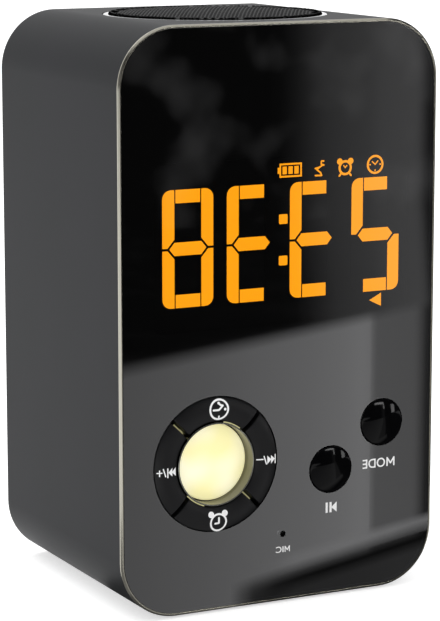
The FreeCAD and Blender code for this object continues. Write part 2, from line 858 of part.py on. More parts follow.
def upright(middle_x, side, up):
    """One upright segment: rounded outside, cut on the slant next to the middle bar."""
    outer = s.digit_width / 2
    inner = outer - s.segment_width
    top = s.digit_height / 2
    low = s.segment_gap
    shoulder = s.segment_width / 2 + s.segment_notch + s.segment_gap
    slant_start = inner + s.segment_slant + s.segment_notch
    corners = [(slant_start, low), (outer, low), (outer, top - s.segment_corner, s.segment_corner),
               (outer - s.segment_corner, top), (inner, top), (inner, shoulder)]
    moved = [(middle_x + corner[0] * side, s.digit_mid_z + corner[1] * up, *corner[2:])
             for corner in corners]
    return moved if side * up > 0 else turned_round(moved)


def level(middle_x, up):
    """The top or bottom bar of a digit."""
    half = s.digit_width / 2 - s.segment_width - s.segment_gap
    far = s.digit_height / 2
    near = far - s.segment_width
    low, high = (near, far) if up > 0 else (-far, -near)
    return rectangle(middle_x - half, s.digit_mid_z + low, middle_x + half, s.digit_mid_z + high)


def middle(middle_x):
    """The middle bar, pointed at both ends."""
    half = s.digit_width / 2 - s.segment_width
    thick = s.segment_width / 2
    tip = half + s.segment_slant
    return [(middle_x - half, s.digit_mid_z - thick), (middle_x + half, s.digit_mid_z - thick),
            (middle_x + tip, s.digit_mid_z), (middle_x + half, s.digit_mid_z + thick),
            (middle_x - half, s.digit_mid_z + thick), (middle_x - tip, s.digit_mid_z)]


def segment(middle_x, name):
    """The outline of a named segment of the digit about middle_x."""
    if name == "middle":
        return middle(middle_x)
    if name in ("top", "bottom"):
        return level(middle_x, 1 if name == "top" else -1)
    up, side = name.split("_")
    return upright(middle_x, 1 if side == "right" else -1, 1 if up == "upper" else -1)


SEGMENTS = ("top", "bottom", "middle", "upper_left", "lower_left", "upper_right", "lower_right")
UNLIT = ((), ("upper_right", "lower_right"), ("upper_right", "lower_right"),
         ("upper_right", "lower_left"))
segment_front = chassis_front - s.segment_thick
lit_body = new_body("lit_segments")
unlit_body = new_body("unlit_segments")
for index, dark in enumerate(UNLIT):
    middle_x = s.display_x + s.digit_pitch * (index - 1.5)
    lit = [segment(middle_x, name) for name in SEGMENTS if name not in dark]
    pad(lit_body, "XZ_Plane", front(segment_front), s.segment_thick, lit)
    if dark:
        pad(unlit_body, "XZ_Plane", front(segment_front), s.segment_thick,
            [segment(middle_x, name) for name in dark])
half_colon = s.colon_side / 2
pad(lit_body, "XZ_Plane", front(segment_front), s.segment_thick,
    [rounded(half_colon, half_colon, half_colon / 4, s.display_x, z)
     for z in (s.colon_high, s.colon_low)])

# Status symbols above the digits, and the pointer below them.
icons = new_body("status_icons")
line = s.icon_line
battery_x = s.display_x + s.battery_icon_shift
snooze_x = s.display_x + s.snooze_icon_shift
alarm_x = s.display_x + s.alarm_icon_shift
clock_x = s.display_x + s.clock_icon_shift
arrow_x = s.display_x + s.arrow_shift
stroke = s.icon_stroke
half_icon = s.icon_size / 2
half_cell_x = s.battery_icon_width / 2
half_cell_z = s.battery_icon_height / 2
charge_width = (s.battery_icon_width - stroke * 5) / 3
battery_left = battery_x - half_cell_x
charge_bars = [rectangle(battery_left + stroke * 2 + (charge_width + stroke / 2) * index,
                         line - half_cell_z + stroke * 1.5,
                         battery_left + stroke * 2 + (charge_width + stroke / 2) * index + charge_width,
                         line + half_cell_z - stroke * 1.5) for index in range(3)]
alarm_z = line - stroke / 2
ear_lift = half_icon - stroke / 4
zigzag = [(snooze_x - stroke * 2, line - half_icon * 0.7),
          (snooze_x + stroke * 2, line - half_icon * 0.7), (snooze_x + stroke, line),
          (snooze_x + stroke * 2, line + half_icon * 0.7), (snooze_x, line + half_icon * 0.7),
          (snooze_x - stroke, line)]
arrow_half = s.arrow_size / 2
pad(icons, "XZ_Plane", front(segment_front), s.segment_thick,
    [rounded(half_cell_x, half_cell_z, stroke, battery_x, line),
     rounded(half_cell_x - stroke, half_cell_z - stroke, stroke / 2, battery_x, line),
     *charge_bars, zigzag,
     [(arrow_x - arrow_half, s.arrow_z), (arrow_x + arrow_half, s.arrow_z - arrow_half),
      (arrow_x + arrow_half, s.arrow_z + arrow_half)]],
    [(alarm_x, alarm_z, half_icon - stroke), (alarm_x, alarm_z, half_icon - stroke * 2),
     (alarm_x - ear_lift * 0.8, alarm_z + ear_lift * 0.8, stroke * 0.8),
     (alarm_x + ear_lift * 0.8, alarm_z + ear_lift * 0.8, stroke * 0.8),
     (clock_x, line, half_icon), (clock_x, line, half_icon - stroke), (clock_x, line, stroke)])

# --- Microphone in its rubber boot -----------------------------------------------------------------

boot = new_body("mic_boot")
boot_flange_radius = boot_radius + s.boot_flange
boot_back = chassis_back + s.boot_flange_thick
mic_hole = s.mic_radius + s.seat_gap
turned(boot, "XY_Plane", (s.mic_x, deep(0), s.mic_z),
       [(s.mic_hole_radius, s.panel_thick), (boot_radius, s.panel_thick), (boot_radius, chassis_back),
        (boot_flange_radius, chassis_back), (boot_flange_radius, boot_back), (mic_hole, boot_back),
        (mic_hole, s.mic_front), (s.mic_hole_radius, s.mic_front)])
mic_parts = [rod(s.mic_x, deep(s.mic_front), s.mic_z, s.mic_radius, s.mic_length, "Y")]
for side in (-1, 1):
    pin_front = s.mic_front + s.mic_length / 2
    mic_parts.append(rod(s.mic_x + side * s.mic_pin_offset, deep(pin_front), s.mic_z,
                         s.mic_pin_radius, s.board_front - pin_front, "Y"))
keep(fused(*mic_parts), "mic_capsule")

# --- Grille ring and mesh ------------------------------------------------------------------------

speaker_axis = (0, speaker_y, 0)
mesh_bore = grille_radius - s.grille_face
ring_low = case_top - s.wall - s.ring_flange_thick
grille = new_body("grille_ring")
turned(grille, "XZ_Plane", speaker_axis,
       [(mesh_bore - s.mesh_ledge, ring_low), (ring_flange_radius, ring_low),
        (ring_flange_radius, case_top - s.wall - s.ring_slope),
        (grille_radius + s.ring_seat, case_top - s.wall), (grille_radius, case_top - s.wall),
        (grille_radius, case_top), (mesh_bore, case_top), (mesh_bore, case_top - s.mesh_seat),
        (mesh_bore - s.mesh_ledge, case_top - s.mesh_seat)])

mesh_radius = mesh_bore - s.mesh_gap
mesh_low = case_top - s.mesh_seat
mesh_crown = case_top + s.mesh_rise
mesh_shoulder = mesh_low + s.mesh_edge
mesh_inner = mesh_radius - s.mesh_ledge
mesh_under = mesh_crown - s.mesh_thick
mesh_flat = mesh_radius - s.mesh_roll
mesh_dome = mesh_crown - mesh_shoulder
mesh = new_body("grille_mesh")
turned(mesh, "XZ_Plane", speaker_axis,
       [(mesh_inner, mesh_low), (mesh_radius, mesh_low),
        (mesh_radius, mesh_shoulder - s.mesh_roll, s.mesh_roll),
        (mesh_flat, mesh_shoulder, dome_radius(mesh_flat, mesh_dome)),
        (0, mesh_crown), (0, mesh_under, -dome_radius(mesh_inner, mesh_dome)),
        (mesh_inner, mesh_shoulder - s.mesh_thick)])

# --- Speaker: basket, magnet system, moving cone ---------------------------------------------------

flange_top = ring_low - s.speaker_gasket
flange_low = flange_top - s.basket_thick
foot_top = flange_top - s.basket_foot_drop
foot_low = foot_top - s.basket_foot_thick
basket_radius = ring_flange_radius - s.basket_inset
basket_dish = basket_radius - s.basket_flange
seat_radius = basket_dish - s.basket_wall
surround_seat_z = flange_top - s.surround_seat
surround_outer = seat_radius - s.seat_gap
roll_outer = surround_outer - s.surround_foot
cone_rim = roll_outer - s.roll_width
spider_seat_z = foot_top + s.spider_seat
spider_radius = s.basket_foot_radius - s.basket_wall
diagonal_ring = (basket_radius - s.speaker_screw_inset) * diagonal
speaker_screw_spots = [(x * diagonal_ring, y * diagonal_ring) for x in (-1, 1) for y in (-1, 1)]
screw_hole = s.screw_radius + s.screw_clearance

basket = new_body("speaker_basket")
turned(basket, "XZ_Plane", speaker_axis,
       [(s.basket_foot_hole, foot_low), (s.basket_foot_radius, foot_low), (basket_dish, flange_low),
        (basket_radius, flange_low), (basket_radius, flange_top), (seat_radius, flange_top),
        (seat_radius, surround_seat_z), (roll_outer, surround_seat_z),
        (spider_radius, spider_seat_z), (spider_radius - s.spider_seat, spider_seat_z),
        (spider_radius - s.spider_seat, foot_top), (s.basket_foot_hole, foot_top)])
window_z = spider_seat_z + (flange_low - spider_seat_z) / 2
window = rounded(s.basket_window * 2, s.basket_window / 2, s.basket_window / 4, 0, window_z)
for plane, start in (("XZ_Plane", (0, speaker_y - basket_dish, 0)),
                     ("YZ_Plane", (basket_dish, speaker_y, 0))):
    pocket(basket, plane, start, basket_dish * 2, [window])
pocket(basket, "XY_Plane", (0, speaker_y, flange_top), s.basket_thick * 2,
       circles=[(x, y, screw_hole) for x, y in speaker_screw_spots])

speaker_gasket = new_body("speaker_gasket")
pad(speaker_gasket, "XY_Plane", (0, speaker_y, flange_top), s.speaker_gasket,
    circles=[(0, 0, basket_radius), (0, 0, basket_dish)]
    + [(x, y, screw_hole) for x, y in speaker_screw_spots])

screw_room = s.speaker_screw_length - s.basket_thick - s.speaker_gasket
pocket(grille, "XY_Plane", (0, speaker_y, ring_low), screw_room + s.seat_gap,
       circles=[(x, y, s.pilot_radius) for x, y in speaker_screw_spots], reverse=True)
grouped("speaker_screws", [screw(x, speaker_y + y, flange_low, s.speaker_screw_head,
                                 s.speaker_head_height, s.speaker_screw_length, "Z", 1)
                           for x, y in speaker_screw_spots])

plate_low = foot_low - s.top_plate_thick
magnet_low = plate_low - s.magnet_thick
yoke_low = magnet_low - s.yoke_thick
former_inner = s.pole_radius + s.coil_gap
former_outer = former_inner + s.former_wall
winding_outer = former_outer + s.winding

top_plate = new_body("magnet_top_plate")
pad(top_plate, "XY_Plane", (0, speaker_y, plate_low), s.top_plate_thick,
    circles=[(0, 0, s.top_plate_radius), (0, 0, winding_outer + s.coil_gap)])
magnet = new_body("magnet_ring")
pad(magnet, "XY_Plane", (0, speaker_y, magnet_low), s.magnet_thick,
    circles=[(0, 0, s.magnet_radius), (0, 0, s.magnet_hole)])
yoke = new_body("magnet_yoke")
pad(yoke, "XY_Plane", (0, speaker_y, yoke_low), s.yoke_thick, circles=[(0, 0, s.yoke_radius)])
pad(yoke, "XY_Plane", (0, speaker_y, yoke_low), foot_low - yoke_low, circles=[(0, 0, s.pole_radius)])

cone_top = surround_seat_z
neck_low = cone_top - s.cone_height
cone_inner_rim = cone_rim - s.cone_lip
cone_wall = s.cone_thick * 1.25
neck_top = neck_low + cone_wall
cone = new_body("speaker_cone")
turned(cone, "XZ_Plane", speaker_axis,
       [(former_outer, neck_low), (cone_inner_rim + s.cone_thick / 2, cone_top - s.cone_thick),
        (cone_rim, cone_top - s.cone_thick), (cone_rim, cone_top), (cone_inner_rim, cone_top),
        (former_outer, neck_top)])

cap_rim = neck_top + (cone_top - neck_top) * (s.cap_radius - former_outer) / (cone_inner_rim - former_outer)
cap_inner = s.cap_radius - s.cone_thick
cap_under = cap_rim + s.cap_rise - s.cone_thick
cap = new_body("dust_cap")
turned(cap, "XZ_Plane", speaker_axis,
       [(cap_inner, cap_rim), (s.cap_radius, cap_rim, dome_radius(s.cap_radius, s.cap_rise)),
        (0, cap_rim + s.cap_rise), (0, cap_under, -dome_radius(cap_inner, s.cap_rise - s.cone_thick))])

coil = new_body("voice_coil")
winding_low = plate_low + s.top_plate_thick / 2 - s.winding_height / 2
winding_high = winding_low + s.winding_height
turned(coil, "XZ_Plane", speaker_axis,
       [(former_inner, winding_low), (winding_outer, winding_low), (winding_outer, winding_high),
        (former_outer, winding_high), (former_outer, neck_top), (former_inner, neck_top)])

surround = new_body("cone_surround")
surround_top = surround_seat_z + s.surround_thick
roll_half = s.roll_width / 2
inner_roll_half = roll_half - s.surround_thick
turned(surround, "XZ_Plane", speaker_axis,
       [(cone_inner_rim, surround_seat_z),
        (cone_rim + s.surround_thick, surround_seat_z, -dome_radius(inner_roll_half, s.surround_rise)),
        (roll_outer - s.surround_thick, surround_seat_z), (surround_outer, surround_seat_z),
        (surround_outer, surround_top),
        (roll_outer, surround_top, dome_radius(roll_half, s.surround_rise)),
        (cone_rim, surround_top), (cone_inner_rim, surround_top)])

spider = new_body("spider")
spider_inner = former_outer + s.seat_gap
spider_outer = spider_radius - s.seat_gap
wave_count = 6
wave_step = (spider_outer - s.spider_seat - spider_inner) / wave_count
wave = [(spider_inner + wave_step * index, spider_seat_z + s.spider_thick * (index % 2))
        for index in range(wave_count + 1)]
under = [*wave, (spider_outer, spider_seat_z)]
over = [(r, z + s.spider_thick) for r, z in reversed(under)]
turned(spider, "XZ_Plane", speaker_axis, under + over)

keep(box(-s.terminal_width / 2, speaker_y + s.top_plate_radius + s.coil_gap,
         foot_low - s.terminal_thick, s.terminal_width, s.terminal_reach, s.terminal_thick),
     "speaker_terminals")

# --- Rear cover, port board and the things on it ---------------------------------------------------

port_back = cover_front - s.port_board_back_gap
port_board_front = port_back - s.port_board_length
port_top = s.port_board_z + s.board_thick
usb_mid = port_top + s.usb_height / 2
aux_mid = port_top + s.aux_height / 2
card_mid = port_top + s.card_height / 2
slide_mid = port_top + s.slide_height / 2
half_slot = (s.knob_width + s.slide_travel) / 2 + s.knob_gap
socket_back = s.case_depth - s.port_recess
shelf_outer = s.port_board_half_width
shelf_inner = shelf_outer - s.shelf_width
port_screw_spots = [(side * s.port_screw_x, deep(port_board_front + s.port_screw_inset))
                    for side in (-1, 1)]


def opening(x, z, width, height):
    """Corners of a port's opening, with the port gap all round."""
    return rounded(width / 2 + s.port_gap, height / 2 + s.port_gap, s.port_gap * 2, x, z)


cover = new_body("rear_cover")
pad(cover, "XZ_Plane", front(cover_front), s.rear_thick, [case_outline(gasket_inset)])
pad(cover, "XZ_Plane", front(cover_front - s.rear_rim_depth), s.rear_rim_depth,
    [case_outline(rim_inset), case_outline(rim_inset + s.rim_thick)])
pad(cover, "XZ_Plane", front(pillar_end), cover_front - pillar_end,
    circles=[(x, z, s.pillar_radius) for x, z in pillar_spots])
pad(cover, "XZ_Plane", front(port_board_front), cover_front - port_board_front,
    [rectangle(-shelf_outer, s.port_board_z - s.shelf_drop, -shelf_inner, s.port_board_z),
     rectangle(shelf_inner, s.port_board_z - s.shelf_drop, shelf_outer, s.port_board_z)])
seat_deep = pillar_end + s.cover_boss_floor
pocket(cover, "XZ_Plane", front(pillar_end), s.cover_boss_floor * 2,
       circles=[(x, z, screw_hole) for x, z in pillar_spots])
pocket(cover, "XZ_Plane", front(s.case_depth), s.case_depth - seat_deep,
       circles=[(x, z, s.cover_screw_head + s.cover_head_gap) for x, z in pillar_spots], reverse=True)
pocket(cover, "XZ_Plane", front(cover_front), s.rear_thick * 2,
       outlines=[opening(s.usb_x, usb_mid, s.usb_width, s.usb_height),
                 opening(s.card_x, card_mid, s.card_width, s.card_height),
                 rectangle(s.slide_x - half_slot, slide_mid - s.knob_height / 2 - s.knob_gap,
                           s.slide_x + half_slot, slide_mid + s.knob_height / 2 + s.knob_gap)],
       circles=[(s.aux_x, aux_mid, s.aux_nose_radius + s.port_gap)])
pocket(cover, "XY_Plane", (0, 0, s.port_board_z), s.port_pilot_depth,
       circles=[(x, y, s.pilot_radius) for x, y in port_screw_spots])
grouped("rear_screws", [screw(x, deep(seat_deep), z, s.cover_screw_head, s.cover_head_height,
                              s.cover_screw_length, "Y", -1) for x, z in pillar_spots])

port_board = new_body("port_board")
pad(port_board, "XY_Plane", (0, 0, s.port_board_z), s.board_thick,
    [rectangle(-s.port_board_half_width, deep(port_board_front),
               s.port_board_half_width, deep(port_back))])
pocket(port_board, "XY_Plane", (0, 0, port_top), s.board_thick * 2,
       circles=[(x, y, screw_hole) for x, y in port_screw_spots])
grouped("port_screws", [screw(x, y, port_top, s.port_screw_head, s.port_head_height,
                              s.port_screw_length, "Z", -1) for x, y in port_screw_spots])

usb = new_body("micro_usb_socket")
usb_inner = (s.usb_width / 2 - s.usb_wall, s.usb_height / 2 - s.usb_wall)
pad(usb, "XZ_Plane", front(socket_back - s.usb_length), s.usb_length,
    [rounded(s.usb_width / 2, s.usb_height / 2, s.usb_wall * 2, s.usb_x, usb_mid)])
pocket(usb, "XZ_Plane", front(socket_back), s.usb_mouth,
       [rounded(*usb_inner, s.usb_wall, s.usb_x, usb_mid)], reverse=True)
pad(usb, "XZ_Plane", front(socket_back - s.usb_mouth - s.usb_wall), s.usb_mouth - s.usb_wall,
    [rounded(s.usb_width / 2 - s.usb_wall * 4, s.usb_tongue / 2, s.usb_tongue / 4, s.usb_x, usb_mid)])

aux = new_body("aux_jack")
aux_face = cover_front - s.port_gap
pad(aux, "XZ_Plane", front(aux_face - s.aux_length), s.aux_length,
    [rectangle(s.aux_x - s.aux_width / 2, port_top, s.aux_x + s.aux_width / 2, port_top + s.aux_height)])
pad(aux, "XZ_Plane", front(aux_face), socket_back - aux_face,
    circles=[(s.aux_x, aux_mid, s.aux_nose_radius)])
pocket(aux, "XZ_Plane", front(socket_back), s.aux_bore_length,
       circles=[(s.aux_x, aux_mid, s.aux_bore_radius)], reverse=True)

card = new_body("card_socket")
pad(card, "XZ_Plane", front(socket_back - s.card_length), s.card_length,
    [rectangle(s.card_x - s.card_width / 2, port_top, s.card_x + s.card_width / 2,
               port_top + s.card_height)])
pocket(card, "XZ_Plane", front(socket_back), s.card_slot_depth,
       [rectangle(s.card_x - s.card_slot_width / 2, card_mid - s.card_slot_height / 2,
                  s.card_x + s.card_slot_width / 2, card_mid + s.card_slot_height / 2)], reverse=True)

slide_back = cover_front - s.slide_back_gap
slide = new_body("slide_switch")
pad(slide, "XZ_Plane", front(slide_back - s.slide_length), s.slide_length,
    [rectangle(s.slide_x - s.slide_width / 2, port_top, s.slide_x + s.slide_width / 2,
               port_top + s.slide_height)])
pocket(slide, "XZ_Plane", front(slide_back), s.slide_pocket,
       [rectangle(s.slide_x - half_slot, slide_mid - s.knob_height / 2 - s.knob_gap,
                  s.slide_x + half_slot, slide_mid + s.knob_height / 2 + s.knob_gap)], reverse=True)
knob_front = slide_back - s.slide_pocket + s.knob_root
keep(box(s.slide_x - s.slide_travel / 2 - s.knob_width / 2, deep(knob_front),
         slide_mid - s.knob_height / 2, s.knob_width, s.case_depth + s.knob_proud - knob_front,
         s.knob_height), "slide_knob")

# --- Battery in its cradle -------------------------------------------------------------------------

half_cell = s.battery_length / 2
trough = s.battery_radius + s.cradle_gap
battery_deep = cover_front - s.battery_back_gap - trough
keep(fused(rod(-half_cell, deep(battery_deep), s.battery_z, s.battery_radius,
               s.battery_length - s.battery_nub, "X"),
           rod(0, deep(battery_deep), s.battery_z, s.battery_nub_radius, half_cell, "X")), "battery")
cradle = new_body("battery_cradle")
trough_half = half_cell + s.cradle_gap
cradle_low = s.battery_z - trough - s.cradle_wall
cradle_half = trough_half + s.cradle_end
pad(cradle, "YZ_Plane", (-cradle_half, 0, 0), cradle_half * 2,
    [rectangle(deep(battery_deep) - trough - s.cradle_wall, cradle_low,
               deep(cover_front), cradle_low + s.cradle_height)])
pocket(cradle, "YZ_Plane", (trough_half, 0, 0), trough_half * 2,
       circles=[(deep(battery_deep), s.battery_z, trough)])

# --- Wires: each runs straight between tangent bends -------------------------------------------------

BEND_SHARE = 0.45


def lead(route, radius):
    """A round wire along a route of points, its corners as wide as the runs beside them allow."""
    points = [FreeCAD.Vector(*(Size.of(value).value for value in point)) for point in route]
    edges = []
    start = points[0]
    for before, corner, after in zip(points, points[1:], points[2:]):
        inward = (corner - before).normalize()
        outward = (after - corner).normalize()
        tangent = BEND_SHARE * min(corner.distanceToPoint(before), corner.distanceToPoint(after))
        bend_start = corner - inward * tangent
        bend_end = corner + outward * tangent
        bend_radius = tangent / math.tan(inward.getAngle(outward) / 2)
        to_centre = (outward - inward).normalize()
        centre = corner + to_centre * math.hypot(tangent, bend_radius)
        bend_middle = centre - to_centre * bend_radius
        edges.append(Part.LineSegment(start, bend_start).toShape())
        edges.append(Part.Arc(bend_start, bend_middle, bend_end).toShape())
        start = bend_end
    edges.append(Part.LineSegment(start, points[-1]).toShape())
    path = Part.Wire(edges)
    section = Part.Wire(Part.makeCircle(radius.value, points[0], points[1] - points[0]))
    tube = path.makePipeShell([section], True, False)
    wanted = math.pi * radius.value ** 2 * path.Length
    if abs(tube.Volume - wanted) > wanted * 0.01:
        raise RuntimeError("A wire's volume does not match its length")
    return tube


def wires(label, routes):
    """A group of wires in one node."""
    feature = doc.addObject("Part::Feature", label)
    feature.Shape = Part.makeCompound([lead(route, s.wire_radius) for route in routes])
    feature.Placement = FreeCAD.Placement()
    keep(feature, label)


terminal_z = foot_low - s.terminal_thick
terminal_deep = speaker_deep + s.top_plate_radius + s.coil_gap + s.terminal_reach - s.wire_radius * 2
lead_z = yoke_low - s.lead_drop
wires("speaker_leads",
      [[(side * s.terminal_width / 4, deep(terminal_deep), terminal_z),
        (side * s.terminal_width / 4, deep(terminal_deep), lead_z),
        (side * s.terminal_width / 4, deep(board_back), lead_z)] for side in (-1, 1)])

wrap_top = s.battery_z + s.battery_radius
lead_high = wrap_top + s.cradle_wall * 2
lead_deep = battery_deep - trough - s.cradle_wall * 3
wires("battery_leads",
      [[(x, deep(battery_deep), wrap_top), (x, deep(battery_deep), lead_high),
        (x, deep(lead_deep), lead_high), (x, deep(lead_deep), port_top + s.wire_radius),
        (x, deep(port_board_front + s.port_screw_inset), port_top + s.wire_radius)]
       for x in (s.port_board_half_width / 3, s.port_board_half_width / 2)])

ribbon = new_body("ribbon_cable")
outer_bend = s.ribbon_bend + s.ribbon_thick
pad(ribbon, "YZ_Plane", (-s.ribbon_width, 0, 0), s.ribbon_width,
    [[(deep(board_back + outer_bend), port_top),
      (deep(port_board_front + s.ribbon_overlap), port_top),
      (deep(port_board_front + s.ribbon_overlap), port_top + s.ribbon_thick),
      (deep(board_back + outer_bend), port_top + s.ribbon_thick, -s.ribbon_bend),
      (deep(board_back + s.ribbon_thick), port_top + outer_bend),
      (deep(board_back + s.ribbon_thick), port_top + outer_bend + s.ribbon_climb),
      (deep(board_back), port_top + outer_bend + s.ribbon_climb),
      (deep(board_back), port_top + outer_bend, outer_bend)]])

# --- Checks and export -----------------------------------------------------------------------------

doc.recompute()
for thing in doc.Objects:
    if {"Invalid", "Error"} & set(thing.State):
        raise RuntimeError(f"{thing.Label} is in state {thing.State}")
os.makedirs("parts", exist_ok=True)
for piece in pieces:
    shape = piece.Shape
    if shape.isNull() or not shape.isValid() or not shape.Solids:
        raise RuntimeError(f"{piece.Label} has no valid solid")
for piece in pieces:
    piece.Shape.exportStep(os.path.join("parts", f"{piece.Label}.step"))
    print(f"{piece.Label}: {len(piece.Shape.Solids)} solid(s), {piece.Shape.Volume:.1f} mm3")
print(f"{len(pieces)} pieces")
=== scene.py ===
"""Looks of a bedside mirror alarm clock with a speaker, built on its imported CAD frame.

The frame: X to the right seen from the front, Y from the front to the rear, Z up, in metres. Sizes
below are in millimetres and are turned to metres where a mesh is made. A depth is the distance
behind the mirror's face.
"""
import math

import bmesh
import bpy
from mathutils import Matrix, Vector
from mathutils.geometry import delaunay_2d_cdt


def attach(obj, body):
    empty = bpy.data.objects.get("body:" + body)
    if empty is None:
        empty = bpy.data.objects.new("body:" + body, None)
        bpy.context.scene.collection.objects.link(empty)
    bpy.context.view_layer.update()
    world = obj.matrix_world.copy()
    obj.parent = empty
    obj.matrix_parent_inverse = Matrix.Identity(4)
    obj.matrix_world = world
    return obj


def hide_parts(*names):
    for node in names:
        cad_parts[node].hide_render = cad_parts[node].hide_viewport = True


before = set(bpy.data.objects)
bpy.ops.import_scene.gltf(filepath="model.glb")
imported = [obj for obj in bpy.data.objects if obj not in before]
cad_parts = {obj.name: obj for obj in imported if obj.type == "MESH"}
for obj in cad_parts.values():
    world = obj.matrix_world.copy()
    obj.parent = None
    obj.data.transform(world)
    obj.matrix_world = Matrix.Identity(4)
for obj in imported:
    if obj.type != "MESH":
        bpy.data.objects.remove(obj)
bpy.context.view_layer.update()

# --- Front chassis ---
# The chassis is one ABS moulding: a plate with a rim, a round well for the keys, bosses for the
# board and four long pillars for the rear screws. It drops into the sleeve from the front, behind
# the mirror.


def linear(code):
    """Turn an sRGB hex colour into linear red, green, blue and alpha."""
    values = [int(code[place:place + 2], 16) / 255 for place in (1, 3, 5)]
    return (*(value / 12.92 if value <= 0.04045 else ((value + 0.055) / 1.055) ** 2.4
              for value in values), 1.0)


def feed(node, inputs):
    """Give a node's inputs their values, or the outputs that feed them."""
    for name, value in inputs.items():
        if isinstance(value, bpy.types.NodeSocket):
            node.id_data.links.new(value, node.inputs[name])
        else:
            node.inputs[name].default_value = value


def add(tree, kind, inputs=None, **options):
    """Add a node to a tree with its options and inputs, and return its outputs."""
    node = tree.nodes.new(kind)
    for option, value in options.items():
        setattr(node, option, value)
    feed(node, inputs or {})
    return node.outputs


def coat(name, size, shades, rough, sockets=None, relief=0.0, firm=1.0, kind="Noise", cloud=None,
         detail=None, run=None, **options):
    """A new finish. One pattern, as fine as a size in millimetres and drawn out along a run, leads
    its colour and roughness from one value to another and raises a relief, in millimetres too. The
    colour can follow a wider cloud instead. What doesn't vary is set on the shader's sockets."""
    material = bpy.data.materials.new(name)
    material.use_nodes = True
    tree = material.node_tree
    shader = tree.nodes["Principled BSDF"]
    place = add(tree, "ShaderNodeTexCoord")["Object"]
    if run:
        place = add(tree, "ShaderNodeMapping", {"Vector": place, "Scale": run})["Vector"]
    inputs = {"Vector": place, "Scale": 1000 / size / (math.tau if kind == "Wave" else 1)}
    if detail is not None:
        inputs["Detail"] = detail
    pattern = add(tree, f"ShaderNodeTex{kind}", inputs, **options)
    pattern = tint = pattern["Distance" if kind == "Voronoi" else "Fac"]
    if cloud:
        tint = add(tree, "ShaderNodeTexNoise", {"Vector": place, "Scale": 1000 / cloud})["Fac"]
    if isinstance(shades, str):
        colour = linear(shades)
    else:
        colour = add(tree, "ShaderNodeMix", {"Factor": tint, "A": linear(shades[0]),
                                             "B": linear(shades[1])}, data_type="RGBA")["Result"]
    if isinstance(rough, tuple):
        rough = add(tree, "ShaderNodeMapRange", {"Value": pattern, "To Min": rough[0],
                                                 "To Max": rough[1]})["Result"]
    feed(shader, {"Base Color": colour, "Roughness": rough, **(sockets or {})})
    if relief:
        feed(shader, {"Normal": add(tree, "ShaderNodeBump", {
            "Height": pattern, "Distance": relief / 1000, "Strength": firm})["Normal"]})
    return material


def dress(material, *nodes):
    """Give CAD nodes a finish."""
    for name in nodes:
        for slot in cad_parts[name].material_slots:
            slot.material = material


# Black ABS as it leaves the tool: matt from the spark-eroded steel, grains near 0.2 mm.
black_abs = coat("black_abs_as_moulded", 0.2, ("#0b0b0c", "#111112"), (0.55, 0.7),
                 {"IOR": 1.53, "Specular IOR Level": 0.3}, relief=0.02, firm=0.5)
dress(black_abs, "front_chassis", "battery_cradle")

# --- Boards and what is soldered to them ---
# Both boards are glass-fibre epoxy under green solder mask, held by M2 screws. Seven square
# switches, four lamps and the microphone stand on the main board, the rear sockets on the other.

# Solder mask: glossy green lacquer that sinks a little into the glass weave, 0.5 mm apart.
solder_mask = coat("green_solder_mask", 0.5, ("#0c3a1e", "#13512a"), 0.28, relief=0.01,
                   kind="Wave", cloud=6.0, bands_direction="DIAGONAL")
feed(solder_mask.node_tree.nodes["Wave Texture"], {"Distortion": 1.0})
dress(solder_mask, "main_board", "port_board")

# Zinc plate on steel: pale grey, a little uneven, with the fine turning marks of the screw head.
dress(coat("zinc_plated_steel", 0.3, ("#9da0a2", "#b9bcbe"), (0.25, 0.42), {"Metallic": 1.0},
           detail=3.0),
      "board_screws", "port_screws", "rear_screws", "speaker_screws", "magnet_top_plate",
      "magnet_yoke")

# Tin plate on the sockets' folded shells: brighter than zinc, with faint rolling streaks.
dress(coat("tin_plated_sheet", 0.8, ("#b4b6b8", "#cfd0d1"), (0.2, 0.34), {"Metallic": 1.0},
           detail=3.0, run=(1.0, 0.15, 1.0)),
      "micro_usb_socket", "card_socket", "slide_switch", "mic_capsule")

# Black glass-filled nylon: dense and slightly waxy, with faint fibre grain near 0.15 mm.
dress(coat("black_nylon_as_moulded", 0.15, ("#161617", "#1f1f20"), (0.4, 0.55), {"IOR": 1.53},
           relief=0.01), "tact_switches", "aux_jack", "slide_knob")

# Natural nylon of the switches' plungers: pale, translucent-looking grey-yellow.
dress(coat("natural_nylon_as_moulded", 0.15, ("#b8b7b0", "#c9c8c1"), 0.45, {"IOR": 1.53}),
      "plunger_clock", "plunger_alarm", "plunger_back", "plunger_forward", "plunger_centre",
      "plunger_play", "plunger_mode")

# Phenolic paper board under the speaker's terminals: brown, with long pressed fibres.
dress(coat("phenolic_paper_board", 0.6, ("#6e4424", "#86562f"), 0.5, relief=0.02, detail=4.0,
           run=(0.2, 1.0, 1.0)), "speaker_terminals")

# Lamp chips: clear resin over yellow phosphor grains of 0.3 mm, glowing warm white.
dress(coat("phosphor_under_resin", 0.3, ("#e6c143", "#f0d464"), 0.2,
           {"Emission Color": linear("#fff0b0"), "Emission Strength": 1.0}, kind="Voronoi"),
      "centre_leds")

# --- Display ---
# Translucent resin bars stand in a black housing right behind the mirror, with a lamp behind each.
# Their fronts are bare and their flanks are inked black, so each bar glows with a crisp edge.


def disc(u, v, radius, steps=40):
    """A filled circle, as one tile."""
    angles = [math.tau * k / steps for k in range(steps)]
    return [[(u + radius * math.cos(angle), v + radius * math.sin(angle)) for angle in angles]]


